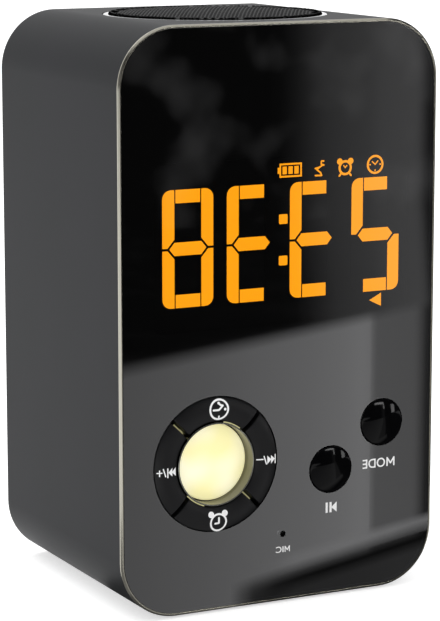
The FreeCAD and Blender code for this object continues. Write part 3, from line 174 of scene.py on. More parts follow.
def arc_line(u, v, radius, width, begin=0.0, end=360.0, steps=48):
    """A round line of the given outer radius, from one clock angle to another, as short tiles."""
    tiles = []
    for k in range(steps):
        first, second = (math.radians(begin + (end - begin) * n / steps) for n in (k, k + 1))
        tiles.append([(u + reach * math.sin(angle), v + reach * math.cos(angle)) for reach, angle in
                      ((radius - width, first), (radius - width, second), (radius, second),
                       (radius, first))])
    return tiles


def stroke(width, *stops):
    """A straight line through some points, with round ends and joints."""
    tiles = []
    for (u0, v0), (u1, v1) in zip(stops, stops[1:]):
        along = Vector((u1 - u0, v1 - v0)).normalized() * width / 2
        tiles.append([(u0 - along.y, v0 + along.x), (u0 + along.y, v0 - along.x),
                      (u1 + along.y, v1 - along.x), (u1 - along.y, v1 + along.x)])
    for u, v in stops:
        tiles += disc(u, v, width / 2, 12)
    return tiles


def bar(left, low, right, high):
    """A filled rectangle."""
    return [[(left, low), (right, low), (right, high), (left, high)]]


def moved(tiles, u, v, turn_u=1, turn_v=1):
    """The same tiles at another place, flipped where a turn is -1."""
    return [[(u + a * turn_u, v + b * turn_v) for a, b in tile] for tile in tiles]


def eased(corners, steps=5):
    """A closed outline with some corners rounded. A corner is (u, v) or (u, v, radius)."""
    path = []
    for index, corner in enumerate(corners):
        here = Vector(corner[:2])
        if len(corner) == 2:
            path.append(tuple(here))
            continue
        radius = corner[2]
        before = (Vector(corners[index - 1][:2]) - here).normalized()
        after = (Vector(corners[(index + 1) % len(corners)][:2]) - here).normalized()
        half = before.angle(after) / 2
        centre = here + (before + after).normalized() * (radius / math.sin(half))
        first, last = (here + side * (radius / math.tan(half)) - centre for side in (before, after))
        begin = math.atan2(first.y, first.x)
        sweep = (math.atan2(last.y, last.x) - begin + math.pi) % math.tau - math.pi
        path += [(centre.x + radius * math.cos(begin + sweep * step / steps),
                  centre.y + radius * math.sin(begin + sweep * step / steps))
                 for step in range(steps + 1)]
    return path


WELD_REACH, FRONTWARD = 2e-7, -0.7


def weld(mesh):
    """Join the doubled points of a mesh, and make its faces smooth and look outwards."""
    work = bmesh.new()
    work.from_mesh(mesh)
    bmesh.ops.remove_doubles(work, verts=work.verts, dist=WELD_REACH)
    bmesh.ops.recalc_face_normals(work, faces=work.faces)
    for face in work.faces:
        face.smooth = True
    work.to_mesh(mesh)
    work.free()


def placed(name, data):
    """A new object, in the scene."""
    thing = bpy.data.objects.new(name, data)
    bpy.context.collection.objects.link(thing)
    return thing


def finish_piece(mesh, material, body, stands_for=(), sharp=32.0, flanks=None):
    """Make a piece of a mesh and its name: smooth faces with crisp corners, on a body, in one
    finish. Where its flanks get another, only faces that look to the front keep the first."""
    weld(mesh)
    mesh.set_sharp_from_angle(angle=math.radians(sharp))
    piece = placed(mesh.name, mesh)
    mesh.materials.append(material)
    if flanks:
        mesh.materials.append(flanks)
        for face in mesh.polygons:
            face.material_index = 0 if face.normal.y < FRONTWARD else 1
    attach(piece, body)
    if stands_for:
        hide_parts(*stands_for)
    return piece


FACE_Y, LONG_EDGE, SLIVER, PRINT_THICK = -36.2, 0.7, 0.004, 0.03


def laid_on(name, tiles, surface, material, body, thick=PRINT_THICK, stands_for=(),
            flanks=None):
    """A thin layer in the shape of the tiles, on a surface: its depth, or a function that gives the
    depth at a point. The tiles make one sheet, cut up where it has to follow a curved surface."""
    spots, rounds = [], []
    for tile in tiles:
        turn = sum(a[0] * b[1] - a[1] * b[0] for a, b in zip(tile, tile[1:] + tile[:1]))
        rounds.append(list(range(len(spots), len(spots) + len(tile))))
        spots += [Vector(point) for point in (tile if turn > 0 else tile[::-1])]
    spots, _, faces, _, _, sources = delaunay_2d_cdt(spots, [], rounds, 1, 1e-4)
    work = bmesh.new()
    verts = [work.verts.new((u, 0.0, v)) for u, v in spots]
    for corners, source in zip(faces, sources):
        if source:
            work.faces.new([verts[n] for n in corners])
    bmesh.ops.delete(work, geom=[vert for vert in verts if not vert.link_faces], context="VERTS")
    bmesh.ops.dissolve_degenerate(work, edges=work.edges, dist=SLIVER)
    if callable(surface):
        for _ in range(2):
            long_edges = [edge for edge in work.edges if edge.calc_length() > LONG_EDGE]
            if long_edges:
                bmesh.ops.subdivide_edges(work, edges=long_edges, cuts=1)
                bmesh.ops.triangulate(work, faces=work.faces)
    grown = bmesh.ops.extrude_face_region(work, geom=list(work.faces), use_keep_orig=True)
    raised = {element for element in grown["geom"] if isinstance(element, bmesh.types.BMVert)}
    for vert in work.verts:
        u, v = vert.co.x, vert.co.z
        depth = surface(u, v) if callable(surface) else surface
        vert.co = Vector((u, FACE_Y + depth - (thick if vert in raised else 0), v)) / 1000
    mesh = bpy.data.meshes.new(name)
    work.to_mesh(mesh)
    work.free()
    return finish_piece(mesh, material, body, stands_for, flanks=flanks)


# Amber resin with its lamp on: an even, saturated glow that hides the resin's own colour. The haze
# of the diffusing grains, 0.4 mm, shows only where the lamp is off.
amber_resin = coat("amber_resin_lit", 0.4, ("#4a2a05", "#553208"), 0.5,
                   {"Emission Color": linear("#ff9f00"), "Emission Strength": 2.1})

# Smoky resin of the bars whose lamp is off: nearly black, with no gloss.
dark_resin = coat("smoky_resin_unlit", 0.4, ("#060606", "#0a0908"), 0.6,
                  {"Specular IOR Level": 0.0})
dress(dark_resin, "unlit_segments")

DIGIT_WIDTH, DIGIT_HEIGHT, DIGIT_PITCH, DIGIT_LINE, DISPLAY_X = 13.75, 28.85, 17.45, 91.8, 1.2
BAR_WIDTH, BAR_GAP, BAR_CORNER, BAR_SLANT, BAR_NOTCH = 3.25, 0.3, 2.2, 1.35, 0.5
BAR_DEPTH, BAR_THICK, COLON_HALF, COLON_CORNER = 2.0, 0.4, 1.2, 0.3
half_digit, digit_top = DIGIT_WIDTH / 2, DIGIT_HEIGHT / 2
inner_side = half_digit - BAR_WIDTH
upright = [eased([(inner_side + BAR_SLANT + BAR_NOTCH, BAR_GAP), (half_digit, BAR_GAP),
                  (half_digit, digit_top, BAR_CORNER), (inner_side, digit_top),
                  (inner_side, BAR_WIDTH / 2 + BAR_NOTCH + BAR_GAP)])]
level = bar(BAR_GAP - inner_side, digit_top - BAR_WIDTH, inner_side - BAR_GAP, digit_top)
middle = [[(-inner_side, -BAR_WIDTH / 2), (inner_side, -BAR_WIDTH / 2), (inner_side + BAR_SLANT, 0),
           (inner_side, BAR_WIDTH / 2), (-inner_side, BAR_WIDTH / 2), (-inner_side - BAR_SLANT, 0)]]
DARK_BARS = ((), ("right up", "right down"), ("right up", "right down"), ("right up", "left down"))
lit_bars = []
for index, dark in enumerate(DARK_BARS):
    digit_x = DISPLAY_X + DIGIT_PITCH * (index - 1.5)
    lit_bars += moved(middle, digit_x, DIGIT_LINE)
    for up, half in ((1, "up"), (-1, "down")):
        lit_bars += moved(level, digit_x, DIGIT_LINE, 1, up)
        for side, hand in ((1, "right"), (-1, "left")):
            if f"{hand} {half}" not in dark:
                lit_bars += moved(upright, digit_x, DIGIT_LINE, side, up)
for colon_z in (97.3, 87.0):
    lit_bars.append(eased([(DISPLAY_X + a, colon_z + b, COLON_CORNER) for a, b in
                           bar(-COLON_HALF, -COLON_HALF, COLON_HALF, COLON_HALF)[0]]))
laid_on("digit_bars", lit_bars, BAR_DEPTH, amber_resin, "case", BAR_THICK, ("lit_segments",),
        dark_resin)

SYMBOL_LINE = 109.3
battery_sign = []
for edges in ((-3.4, -0.75, -2.9, 0.75), (-2.9, -1.75, 3.35, -1.3), (-2.9, 1.3, 3.35, 1.75),
              (-2.9, -1.3, -2.45, 1.3), (2.9, -1.3, 3.35, 1.3), (-2.05, -0.95, -0.85, 0.95),
              (-0.4, -0.95, 0.8, 0.95), (1.25, -0.95, 2.45, 0.95)):
    battery_sign += bar(*edges)
snooze_sign = (stroke(0.42, (-1.2, 0.0), (0.0, 0.25), (-0.75, -0.3), (0.35, -1.15), (0.6, -1.8),
                      (-1.15, -1.75))
               + stroke(0.38, (0.0, 0.25), (0.85, 0.75), (1.25, 0.75), (0.5, 1.0), (0.5, 1.75),
                        (1.2, 1.75)))
alarm_sign = (arc_line(0.0, -0.25, 1.9, 0.6) + disc(-1.55, 1.35, 0.8, 20)
              + disc(1.55, 1.35, 0.8, 20)
              + stroke(0.5, (-1.2, -1.7), (-1.65, -2.2)) + stroke(0.5, (1.2, -1.7), (1.65, -2.2))
              + stroke(0.3, (-0.45, 0.3), (0.0, -0.25), (0.45, 0.3)))
clock_sign = (arc_line(0.0, 0.0, 2.4, 0.55) + stroke(0.32, (-0.85, 0.75), (0.0, 0.0), (0.75, 0.85))
              + bar(-0.17, -1.7, 0.17, -1.25) + bar(-1.7, -0.17, -1.25, 0.17)
              + bar(1.25, -0.17, 1.7, 0.17))
pointer_sign = [[(-1.7, 0.0), (1.7, -1.7), (1.7, 1.7)]]
symbols = (moved(battery_sign, 2.98, SYMBOL_LINE) + moved(snooze_sign, 11.3, SYMBOL_LINE)
           + moved(alarm_sign, 18.6, SYMBOL_LINE) + moved(clock_sign, 27.2, SYMBOL_LINE + 0.1)
           + moved(pointer_sign, 27.6, 75.1))
laid_on("status_symbols", symbols, BAR_DEPTH, amber_resin, "case", BAR_THICK, ("status_icons",),
        dark_resin)

# --- Ring of keys ---
# Four ABS keys fill the well round the centre button, a quarter of the ring each. Their crowned
# tops stand a little proud of the mirror, and their signs are pad-printed in white.

RING_X, RING_Z = -18.2, 37.9
KEY_INNER, KEY_OUTER, KEY_RISE, GROOVE = 10.8, 16.8, 0.6, 1.0
key_middle = (KEY_INNER + KEY_OUTER) / 2
crown_radius = ((KEY_OUTER - KEY_INNER) ** 2 / 4 + KEY_RISE ** 2) / (2 * KEY_RISE)


def key_front(reach):
    """Depth of a key's crowned top at a distance from the ring's middle."""
    away = min(abs(reach - key_middle), (KEY_OUTER - KEY_INNER) / 2)
    return crown_radius - KEY_RISE - math.sqrt(crown_radius ** 2 - away ** 2)


def skin(rows, closed=False, capped=False):
    """Points and faces of a skin over rows of equal length, each row a closed ring."""
    count = len(rows[0])
    points = [point for row in rows for point in row]
    faces = []
    for k in range(len(rows) if closed else len(rows) - 1):
        low, high = k * count, (k + 1) % len(rows) * count
        faces += [(low + n, low + (n + 1) % count, high + (n + 1) % count, high + n)
                  for n in range(count)]
    if capped:
        faces += [tuple(range(count))[::-1], tuple(range(len(points) - count, len(points)))]
    return points, faces


def mesh_of(name, *skins):
    """One mesh of several skins, turned from millimetres to metres."""
    points, faces = [], []
    for more_points, more_faces in skins:
        faces += [tuple(len(points) + n for n in face) for face in more_faces]
        points += [(x / 1000, y / 1000, z / 1000) for x, y, z in more_points]
    mesh = bpy.data.meshes.new(name)
    mesh.from_pydata(points, [], faces)
    return mesh


def lathe(profile, centre, axis="Y", steps=128):
    """Turn a closed profile of (radius, place along the axis) about an axis through a centre. Along
    Y the place is a depth, and along Z a height."""
    rows = []
    for n in range(steps):
        c, w = math.cos(math.tau * n / steps), math.sin(math.tau * n / steps)
        if axis == "Y":
            rows.append([(centre[0] + r * c, FACE_Y + at, centre[1] + r * w) for r, at in profile])
        else:
            rows.append([(centre[0] + r * c, centre[1] + r * w, at) for r, at in profile])
    return skin(rows, closed=True)


def key_skin(turn):
    """A key's cap: its section swept through a quarter turn, with its ends parallel to the grooves
    and eased like its other edges."""
    ease, across = 0.28, KEY_OUTER - KEY_INNER
    section = eased([(KEY_INNER, 3.4), (KEY_INNER, 0.0, 0.16)]
                    + [(KEY_INNER + across * k / 16, key_front(KEY_INNER + across * k / 16))
                       for k in range(1, 16)]
                    + [(KEY_OUTER, 0.0, 0.16), (KEY_OUTER, 1.8), (17.9, 1.8), (17.9, 3.4)], 4)
    inward = []
    for n in range(len(section)):
        run = (Vector(section[(n + 1) % len(section)]) - Vector(section[n - 1])).normalized()
        inward.append(Vector((-run.y, run.x)))
    if sum(a[0] * b[1] - a[1] * b[0] for a, b in zip(section, section[1:] + section[:1])) < 0:
        inward = [-push for push in inward]
    stations = [(ease * (1 - math.cos(math.radians(a))), ease * (1 - math.sin(math.radians(a))))
                for a in (0, 22.5, 45, 67.5, 90)]
    rows = []
    for end in (-1, 1):
        for gap, shrink in stations if end < 0 else stations[::-1]:
            row = []
            for (r, at), push in zip(section, inward):
                r, at = r + push.x * shrink, at + push.y * shrink
                row.append((r, at, end * (math.pi / 4 - math.asin((GROOVE / 2 + gap) / r))))
            rows.append(row)
    filling = [[(a[0], a[1], a[2] + (b[2] - a[2]) * k / 24) for a, b in zip(rows[4], rows[5])]
               for k in range(1, 24)]
    return skin([[(RING_X + r * math.sin(angle + turn), FACE_Y + at,
                   RING_Z + r * math.cos(angle + turn)) for r, at, angle in row]
                 for row in rows[:5] + filling + rows[5:]], capped=True)


# Key plastic: near-black ABS, moulded satin in a finely blasted tool, grains near 0.12 mm.
satin_abs = coat("satin_black_abs", 0.12, ("#0e0e10", "#141416"), (0.32, 0.44),
                 {"IOR": 1.53, "Specular IOR Level": 0.2}, relief=0.008, cloud=9.0)

# Pad-print ink: opaque white, dry-looking, a touch uneven where the pad lifted.
white_ink = coat("white_printing_ink", 0.5, ("#f4f4f4", "#ffffff"), (0.45, 0.6))

for name, turn in {"clock": 0.0, "forward": math.pi / 2, "alarm": math.pi,
                   "back": -math.pi / 2}.items():
    stem_at = (RING_X + key_middle * math.sin(turn), RING_Z + key_middle * math.cos(turn))
    mesh = mesh_of(f"ring_key_{name}", key_skin(turn),
                   lathe([(0.0, 3.0), (2.0, 3.0), (2.0, 7.2), (0.0, 7.2)], stem_at, steps=32))
    finish_piece(mesh, satin_abs, f"{name}_key", (f"key_{name}",), 24.0)


def on_key(u, v):
    """Depth of the ring of keys at a point of the front."""
    return key_front(math.hypot(u - RING_X, v - RING_Z))


clock_face = (arc_line(0.0, 0.0, 2.7, 0.5) + stroke(0.5, (-1.55, -0.1), (-0.05, -0.1), (1.0, 0.9))
              + stroke(0.5, (1.0, 0.9), (0.35, 1.1), (-0.1, 1.6)) + disc(-0.1, 1.6, 0.35, 16)
              + disc(1.65, -0.05, 0.36, 16) + bar(-0.22, -2.3, 0.22, -1.55))
laid_on("clock_key_print", moved(clock_face, -17.6, 51.7), on_key, white_ink, "clock_key")
bell_clock = (arc_line(0.0, 0.0, 2.35, 0.48) + stroke(0.5, (0.1, 1.15), (0.1, -0.15), (-0.9, -0.2))
              + disc(-2.0, 2.15, 0.8, 24) + disc(1.75, 2.2, 0.8, 24))
laid_on("alarm_key_print", moved(bell_clock, -17.78, 23.2), on_key, white_ink, "alarm_key")
skip_back = (stroke(0.3, (-2.5, 0.08), (-1.3, 0.08)) + stroke(0.3, (-1.88, 0.68), (-1.88, -0.72))
             + stroke(0.3, (-0.95, 1.0), (-0.32, -0.9)) + stroke(0.34, (0.25, 1.0), (0.25, -1.15))
             + [[(0.4, 0.0), (1.55, -1.05), (1.55, 1.1)], [(1.35, 0.0), (2.6, -1.05), (2.6, 1.1)]])
laid_on("back_key_print", moved(skip_back, -31.9, 37.31), on_key, white_ink, "back_key")
skip_forward = (stroke(0.3, (-2.6, 0.2), (-1.0, 0.2)) + stroke(0.3, (-0.75, 0.95), (-0.1, -1.05))
                + [[(0.15, -1.1), (1.35, 0.0), (0.15, 1.05)],
                   [(1.25, -1.1), (2.45, 0.0), (1.25, 1.05)]]
                + stroke(0.34, (2.6, 1.0), (2.6, -1.1)))
laid_on("forward_key_print", moved(skip_forward, -4.36, 37.63), on_key, white_ink, "forward_key")

# --- Lit centre button ---
# A milky acrylic disc lies 3 mm down in a polished steel collar, with lamps behind it. A clear
# guide round the collar glows in thin ribs at the bottom of two of the grooves and in two arcs at
# the collar's rim; these glows are painted light lines and painted highlights.

# Opal acrylic, lit from behind: cream and faintly glossy. The soft whiter clouds in its base colour
# are painted glow, standing for brighter spots from the lamps; they lie at random places.
opal = coat("opal_acrylic_lit", 11.0, ("#e3db94", "#efecd8"), 0.3,
            {"Emission Color": linear("#fff8c4"), "Emission Strength": 0.47}, detail=0.5)
tree = opal.node_tree
feed(tree.nodes["Mix"], {"Factor": add(tree, "ShaderNodeMapRange", {
    "Value": tree.nodes["Noise Texture"].outputs["Fac"], "From Min": 0.38,
    "From Max": 0.62})["Result"]})
lens = [(0.0, 2.98), (3.4, 2.99), (6.8, 3.02), (9.8, 3.1, 0.4), (9.8, 4.5), (2.0, 4.5), (2.0, 7.2),
        (0.0, 7.2)]
finish_piece(mesh_of("lit_centre_button", lathe(eased(lens), (RING_X, RING_Z))), opal,
             "centre_press", ("centre_button",))

# Polished stainless tube, a little smoky: it mirrors the lens in its bore and a rim of room light.
polished_steel = coat("polished_stainless_tube", 0.25, "#7e7e77", (0.14, 0.26), {"Metallic": 1.0})
collar = [(10.1, 5.2), (10.1, -0.45, 0.14), (10.5, -0.45, 0.2), (10.5, 5.2)]
finish_piece(mesh_of("polished_collar", lathe(eased(collar), (RING_X, RING_Z))), polished_steel,
             "case", ("centre_collar",))

# Clear acrylic guide with frosted faces that glow a dull straw yellow. This glow is painted light:
# lines of light in two grooves and highlights at the collar's rim.
painted_guide_glow = coat("frosted_guide_painted_glow", 0.3, "#b5b07c", (0.3, 0.5),
                 {"Emission Color": linear("#d2cd96"), "Emission Strength": 0.3})
rib = bar(-0.22, 11.4, 0.22, 14.9)
RIB_DEPTH, RIB_HIGH, LIP_DEPTH, LIP_HIGH = 5.0, 2.8, 3.0, 3.1


def turned(tiles, degrees):
    """Tiles turned clockwise about the ring's middle."""
    c, w = math.cos(math.radians(degrees)), math.sin(math.radians(degrees))
    return [[(RING_X + a * c + b * w, RING_Z - a * w + b * c) for a, b in tile] for tile in tiles]


# Painted light lines: the ribs in the upper-left and lower-right grooves glow, and the ribs in the
# other two are black.
laid_on("groove_ribs_painted_light", turned(rib, -45) + turned(rib, 135), RIB_DEPTH, painted_guide_glow, "case",
        RIB_HIGH, ("light_guide",), black_abs)
laid_on("groove_ribs_dark", turned(rib, 45) + turned(rib, -135), RIB_DEPTH, black_abs, "case",
        RIB_HIGH, ("light_guide",))
guide_section = bar(10.6, 4.4, 11.2, 5.2)[0]
finish_piece(mesh_of("guide_ring", lathe(guide_section, (RING_X, RING_Z))), painted_guide_glow, "case",
             ("light_guide",))
# Painted highlights: two glowing arcs in the gap at the collar's rim, upper right and lower left,
# stand for glints of the room on that rim.
for name, begin, end in (("upper", 11, 38), ("lower", 198, 228)):
    laid_on(f"painted_glint_lip_{name}", arc_line(RING_X, RING_Z, 10.79, 0.26, begin, end, 24), LIP_DEPTH,
            painted_guide_glow, "case", LIP_HIGH, ("light_guide",), black_abs)

# --- Round buttons ---
# Play and mode are ABS domes, moulded in a mirror-polished tool, so they are glossy black. Each
# has a hidden flange that keeps it in, and a stem that ends on its switch.

# Gloss black ABS: a clean, deep reflection over black, with the faint sink ripple of a thick dome.
gloss_abs = coat("gloss_black_abs", 4.0, "#050506", 0.06,
                 {"IOR": 1.53, "Specular IOR Level": 0.1}, relief=0.01, firm=0.2)
BUTTON_RADIUS, BUTTON_PROUD, BUTTON_EDGE, DOME_REACH = 5.85, 1.0, 0.15, 5.4
rise = BUTTON_PROUD - BUTTON_EDGE
dome_radius = (BUTTON_RADIUS ** 2 + rise ** 2) / (2 * rise)
button_profile = [(reach, dome_radius - BUTTON_PROUD - math.sqrt(dome_radius ** 2 - reach ** 2))
                  for reach in (DOME_REACH * k / 9 for k in range(10))]
button_profile += [(BUTTON_RADIUS, -BUTTON_EDGE, 0.22), (BUTTON_RADIUS, 1.7), (7.1, 1.7),
                   (7.1, 2.7), (2.0, 2.7), (2.0, 7.2), (0.0, 7.2)]
BUTTON_SPOTS = {"play": (14.15, 33.1), "mode": (28.85, 43.8)}
for name, spot in BUTTON_SPOTS.items():
    finish_piece(mesh_of(f"round_button_{name}", lathe(eased(button_profile), spot)), gloss_abs,
                 f"{name}_press", (f"{name}_button",))

# --- Microphone boot and panel gasket ---
# A silicone boot seals the microphone to its hole in the mirror. A strip of black foam keeps dust
# from the gap between mirror and chassis.

# Silicone rubber: dull, soft-looking black with a bloom of fine grain.
dress(coat("black_silicone_rubber", 0.25, ("#0d0d0d", "#161616"), (0.7, 0.85), {"IOR": 1.42},
           relief=0.02), "mic_boot", "rubber_feet", "cone_surround")

# Cell foam: black, full of open pores 0.3 mm across, with no gloss at all.
dress(coat("black_cell_foam", 0.3, ("#0b0b0b", "#1b1b1b"), 0.95, relief=0.08, kind="Voronoi"),
      "panel_gasket", "speaker_gasket")

# --- Mirror panel ---
# A 1.5 mm acrylic sheet, half-mirrored on its face and laser-cut round the keys and buttons. Its
# back is painted black but for the display's window. Its words and signs are screen-printed on the
# face.

# Half-mirrored acrylic: the film on its face shows the room darkly and lets lamps behind shine
# through, and the sheet behind the film is clear. Wiping leaves smears a few centimetres long.
half_mirror = coat("half_mirrored_acrylic", 18.0, "#8a8a8b", (0.02, 0.035), {"Metallic": 1.0},
                   detail=3.0, run=(0.4, 1.0, 1.0))
tree = half_mirror.node_tree
depth = add(tree, "ShaderNodeSeparateXYZ", {
    "Vector": tree.nodes["Texture Coordinate"].outputs["Object"]})["Y"]
face_at = min(vert.co.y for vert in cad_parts["front_panel"].data.vertices)
FILM_END, CLEAR_FROM = 0.0002, 0.0005
feed(tree.nodes["Principled BSDF"], {"Alpha": add(tree, "ShaderNodeMapRange", {
    "Value": depth, "From Min": face_at + FILM_END, "From Max": face_at + CLEAR_FROM,
    "To Min": 0.5, "To Max": 0.0})["Result"]})
dress(half_mirror, "front_panel")


def as_made(thing):
    """The mesh that a curve, a word or a modifier makes."""
    bpy.context.view_layer.update()
    graph = bpy.context.evaluated_depsgraph_get()
    return bpy.data.meshes.new_from_object(thing.evaluated_get(graph))


def tiles_of(curve):
    """The filled faces of a flat curve or a word, as tiles."""
    holder = placed("holder", curve)
    flat = as_made(holder)
    tiles = [[flat.vertices[n].co.xy.to_tuple() for n in face.vertices] for face in flat.polygons]
    bpy.data.objects.remove(holder)
    bpy.data.meshes.remove(flat)
    return tiles


def word(text, width, height, u, v):
    """Tiles of a word that reads from right to left, as wide and high as told, about a point."""
    curve = bpy.data.curves.new(text, "FONT")
    curve.body, curve.offset, curve.resolution_u = text, 0.012, 6
    tiles = tiles_of(curve)
    across = [a for tile in tiles for a, _ in tile]
    up = [b for tile in tiles for _, b in tile]
    return [[(u - ((a - min(across)) / (max(across) - min(across)) - 0.5) * width,
              v + ((b - min(up)) / (max(up) - min(up)) - 0.5) * height) for a, b in tile]
            for tile in tiles]


def letter_m(width, height, pen):
    """Tiles of a slender M about the middle, the same read either way."""
    half, tall = (width - pen) / 2, (height - pen) / 2
    return stroke(pen, (-half, -tall), (-half, tall), (0.0, -0.4 * tall), (half, tall),
                  (half, -tall))


SCREEN_INK = 0.02
play_pause = (bar(-1.62, -1.33, -1.0, 1.33) + bar(-0.5, -1.33, 0.12, 1.33)
              + [[(0.0, 0.0), (1.58, -1.33), (1.58, 1.33)]])
mode_word = word("ODE", 6.6, 2.4, 26.8, 33.24) + moved(letter_m(2.4, 2.4, 0.42), 31.7, 33.24)
mic_word = word("IC", 2.2, 1.6, -0.29, 13.95) + moved(letter_m(1.5, 1.6, 0.26), 1.86, 13.95)
for name, tiles in {"mode_word": mode_word, "mic_word": mic_word,
                    "play_pause_sign": moved(play_pause, 14.45, 23.19)}.items():
    laid_on(name, tiles, 0.0, white_ink, "case", SCREEN_INK)

# Back paint: flat black, thick enough to stop all light, with a slight pull from the squeegee. On
# the grille pan's rolled edge and skirt it is painted shade.
back_paint_and_shade = coat("black_back_paint_and_painted_shade", 1.5, ("#060606", "#0a0a0a"), 0.8,
                  {"Specular IOR Level": 0.0}, run=(1.0, 1.0, 0.1))
dress(back_paint_and_shade, "display_housing")
painted = bpy.data.curves.new("painted", "CURVE")
painted.dimensions, painted.fill_mode = "2D", "BOTH"
PAINT_DEPTH = 1.49
holes = ((RING_X, RING_Z, 17.15), *((*spot, 6.2) for spot in BUTTON_SPOTS.values()),
         (0.6, 17.9, 0.85))
for outline in (eased([(u, v, 14.0) for u, v in bar(-43.1, 1.7, 43.1, 144.7)[0]], 16),
                eased([(u, v, 2.0) for u, v in bar(-34.2, 71.2, 36.6, 112.7)[0]]),
                *(disc(u, v, radius, 96)[0] for u, v, radius in holes)):
    spline = painted.splines.new("POLY")
    spline.points.add(len(outline) - 1)
    for point, (u, v) in zip(spline.points, outline):
        point.co = (u, v, 0.0, 1.0)
    spline.use_cyclic_u = True
laid_on("panel_back_paint", tiles_of(painted), PAINT_DEPTH, back_paint_and_shade, "case")

# --- Case sleeve and bright frame ---
# The sleeve is one ABS tube, moulded and sprayed a satin anthracite. It has a round hole on top
# for the grille. A thin plated frame is bonded to its front edge, round the mirror.

HALF_WIDTH, HALF_HEIGHT, CORNER, MIDDLE_Z = 44.0, 72.6, 15.0, 73.2


def round_the_case(section, steps=24):
    """A ring that runs round the case. A point of its section is (depth, inset from its side)."""
    rows = []
    for side_x, side_z, begin in ((1, 1, 0.0), (-1, 1, 90.0), (-1, -1, 180.0), (1, -1, 270.0)):
        for k in range(steps + 1):
            angle = math.radians(begin + 90.0 * k / steps)
            across, up = side_x * (HALF_WIDTH - CORNER), side_z * (HALF_HEIGHT - CORNER)
            rows.append([(across + (CORNER - inset) * math.cos(angle), FACE_Y + at,
                          MIDDLE_Z + up + (CORNER - inset) * math.sin(angle))
                         for at, inset in section])
    return skin(rows, closed=True)


def keep_flat(piece):
    """Keep wide flat faces truly flat in their shading."""
    modifier = piece.modifiers.new("flat faces", "WEIGHTED_NORMAL")
    modifier.keep_sharp = True
    modifier.weight = 100


# Satin anthracite coat: dark grey, with the orange peel of a sprayed film (about 1.2 mm) over its
# fine matting grain (0.15 mm), and a shade that drifts a little over the long side.
anthracite = coat("satin_anthracite_coat", 0.15, ("#1f2122", "#242428"), (0.42, 0.52),
                  {"Specular IOR Level": 0.08}, relief=0.006, cloud=30.0)
tree = anthracite.node_tree
peel = add(tree, "ShaderNodeTexNoise", {
    "Vector": tree.nodes["Texture Coordinate"].outputs["Object"], "Scale": 1000 / 1.2})["Fac"]
feed(tree.nodes["Bump"], {"Height": add(tree, "ShaderNodeMath", {
    0: tree.nodes["Noise Texture"].outputs["Fac"], 1: 0.5, 2: peel},
    operation="MULTIPLY_ADD")["Value"]})

sleeve_section = eased([(0.8, 0.0, 0.1), (72.4, 0.0, 0.45), (72.4, 1.2, 0.15), (69.9, 1.2),
                        (69.9, 2.2), (4.0, 2.2), (4.0, 1.2), (1.5, 1.2), (1.5, 0.75),
                        (0.8, 0.75)])
hole_section, pocket_section = bar(0.0, 142.0, 28.75, 150.0)[0], bar(0.0, -2.0, 4.2, 1.6)[0]
blank = placed("blank", mesh_of("blank", round_the_case(sleeve_section)))
cutter = placed("cutter", mesh_of("cutter", lathe(hole_section, (0, 0), "Z", 160), *(
    lathe(pocket_section, (x, y), "Z", 40) for x in (-23, 23) for y in (-25, 25))))
for thing in (blank, cutter):
    weld(thing.data)
drilling = blank.modifiers.new("holes", "BOOLEAN")
drilling.operation, drilling.solver, drilling.object = "DIFFERENCE", "EXACT", cutter
drilled = as_made(blank)
for thing in (blank, cutter):
    bpy.data.objects.remove(thing)
drilled.name = "case_sleeve"
keep_flat(finish_piece(drilled, anthracite, "case", ("main_shell",), 30.0))

# Bright frame: nickel-plated and polished, softened by the wiping of many cloths.
bright_plate = coat("polished_nickel_frame", 5.0, "#a5a297", (0.14, 0.26), {"Metallic": 1.0},
                    detail=3.0)
frame_section = eased([(0.0, 0.62, 0.03), (0.0, 0.45, 0.1), (0.45, 0.0, 0.12), (0.8, 0.0),
                       (0.8, 0.75), (0.12, 0.75), (0.12, 0.62)])
keep_flat(finish_piece(mesh_of("bright_frame", round_the_case(frame_section)), bright_plate,
                       "case", ("front_trim",), 30.0))

# --- Speaker ---
# A 2 inch driver faces up under the grille: pressed paper cone on a rubber roll and a dipped cloth
# spider, in a steel basket, with a ferrite ring magnet below. Two leads run from it to the board.

# Pressed paper: dull black felt of fibres 0.7 mm long.
dress(coat("pressed_paper_pulp", 0.7, ("#1c1c1d", "#2b2b2b"), 0.85, relief=0.05, detail=5.0),
      "speaker_cone", "dust_cap")

# Basket paint: thin black enamel on pressed steel, with a fine orange peel.
dress(coat("black_basket_enamel", 0.9, "#121213", (0.35, 0.5), relief=0.01), "speaker_basket")

# Ground ferrite: charcoal ceramic with small dark pits from the grinding.
dress(coat("ground_ferrite", 0.4, ("#26272a", "#36383b"), (0.45, 0.7), detail=4.0), "magnet_ring")

# Enamelled copper wire, wound in turns 0.2 mm apart.
dress(coat("enamelled_copper_winding", 0.2, ("#7a3a16", "#b8622c"), 0.35, {"Metallic": 1.0},
           relief=0.05, kind="Wave", bands_direction="Z"), "voice_coil")

# Resin-dipped cloth: a tan plain weave, threads 0.4 mm apart.
dress(coat("resin_dipped_cloth", 0.4, ("#8a6126", "#b98a41"), 0.75, relief=0.05, kind="Checker"),
      "spider")

# --- Grille ---
# A polished, plated ring is glued into the sleeve's hole, flush with its top. A shallow pan of
# perforated steel sheet, powder-coated black, clips into it and stands a little proud.

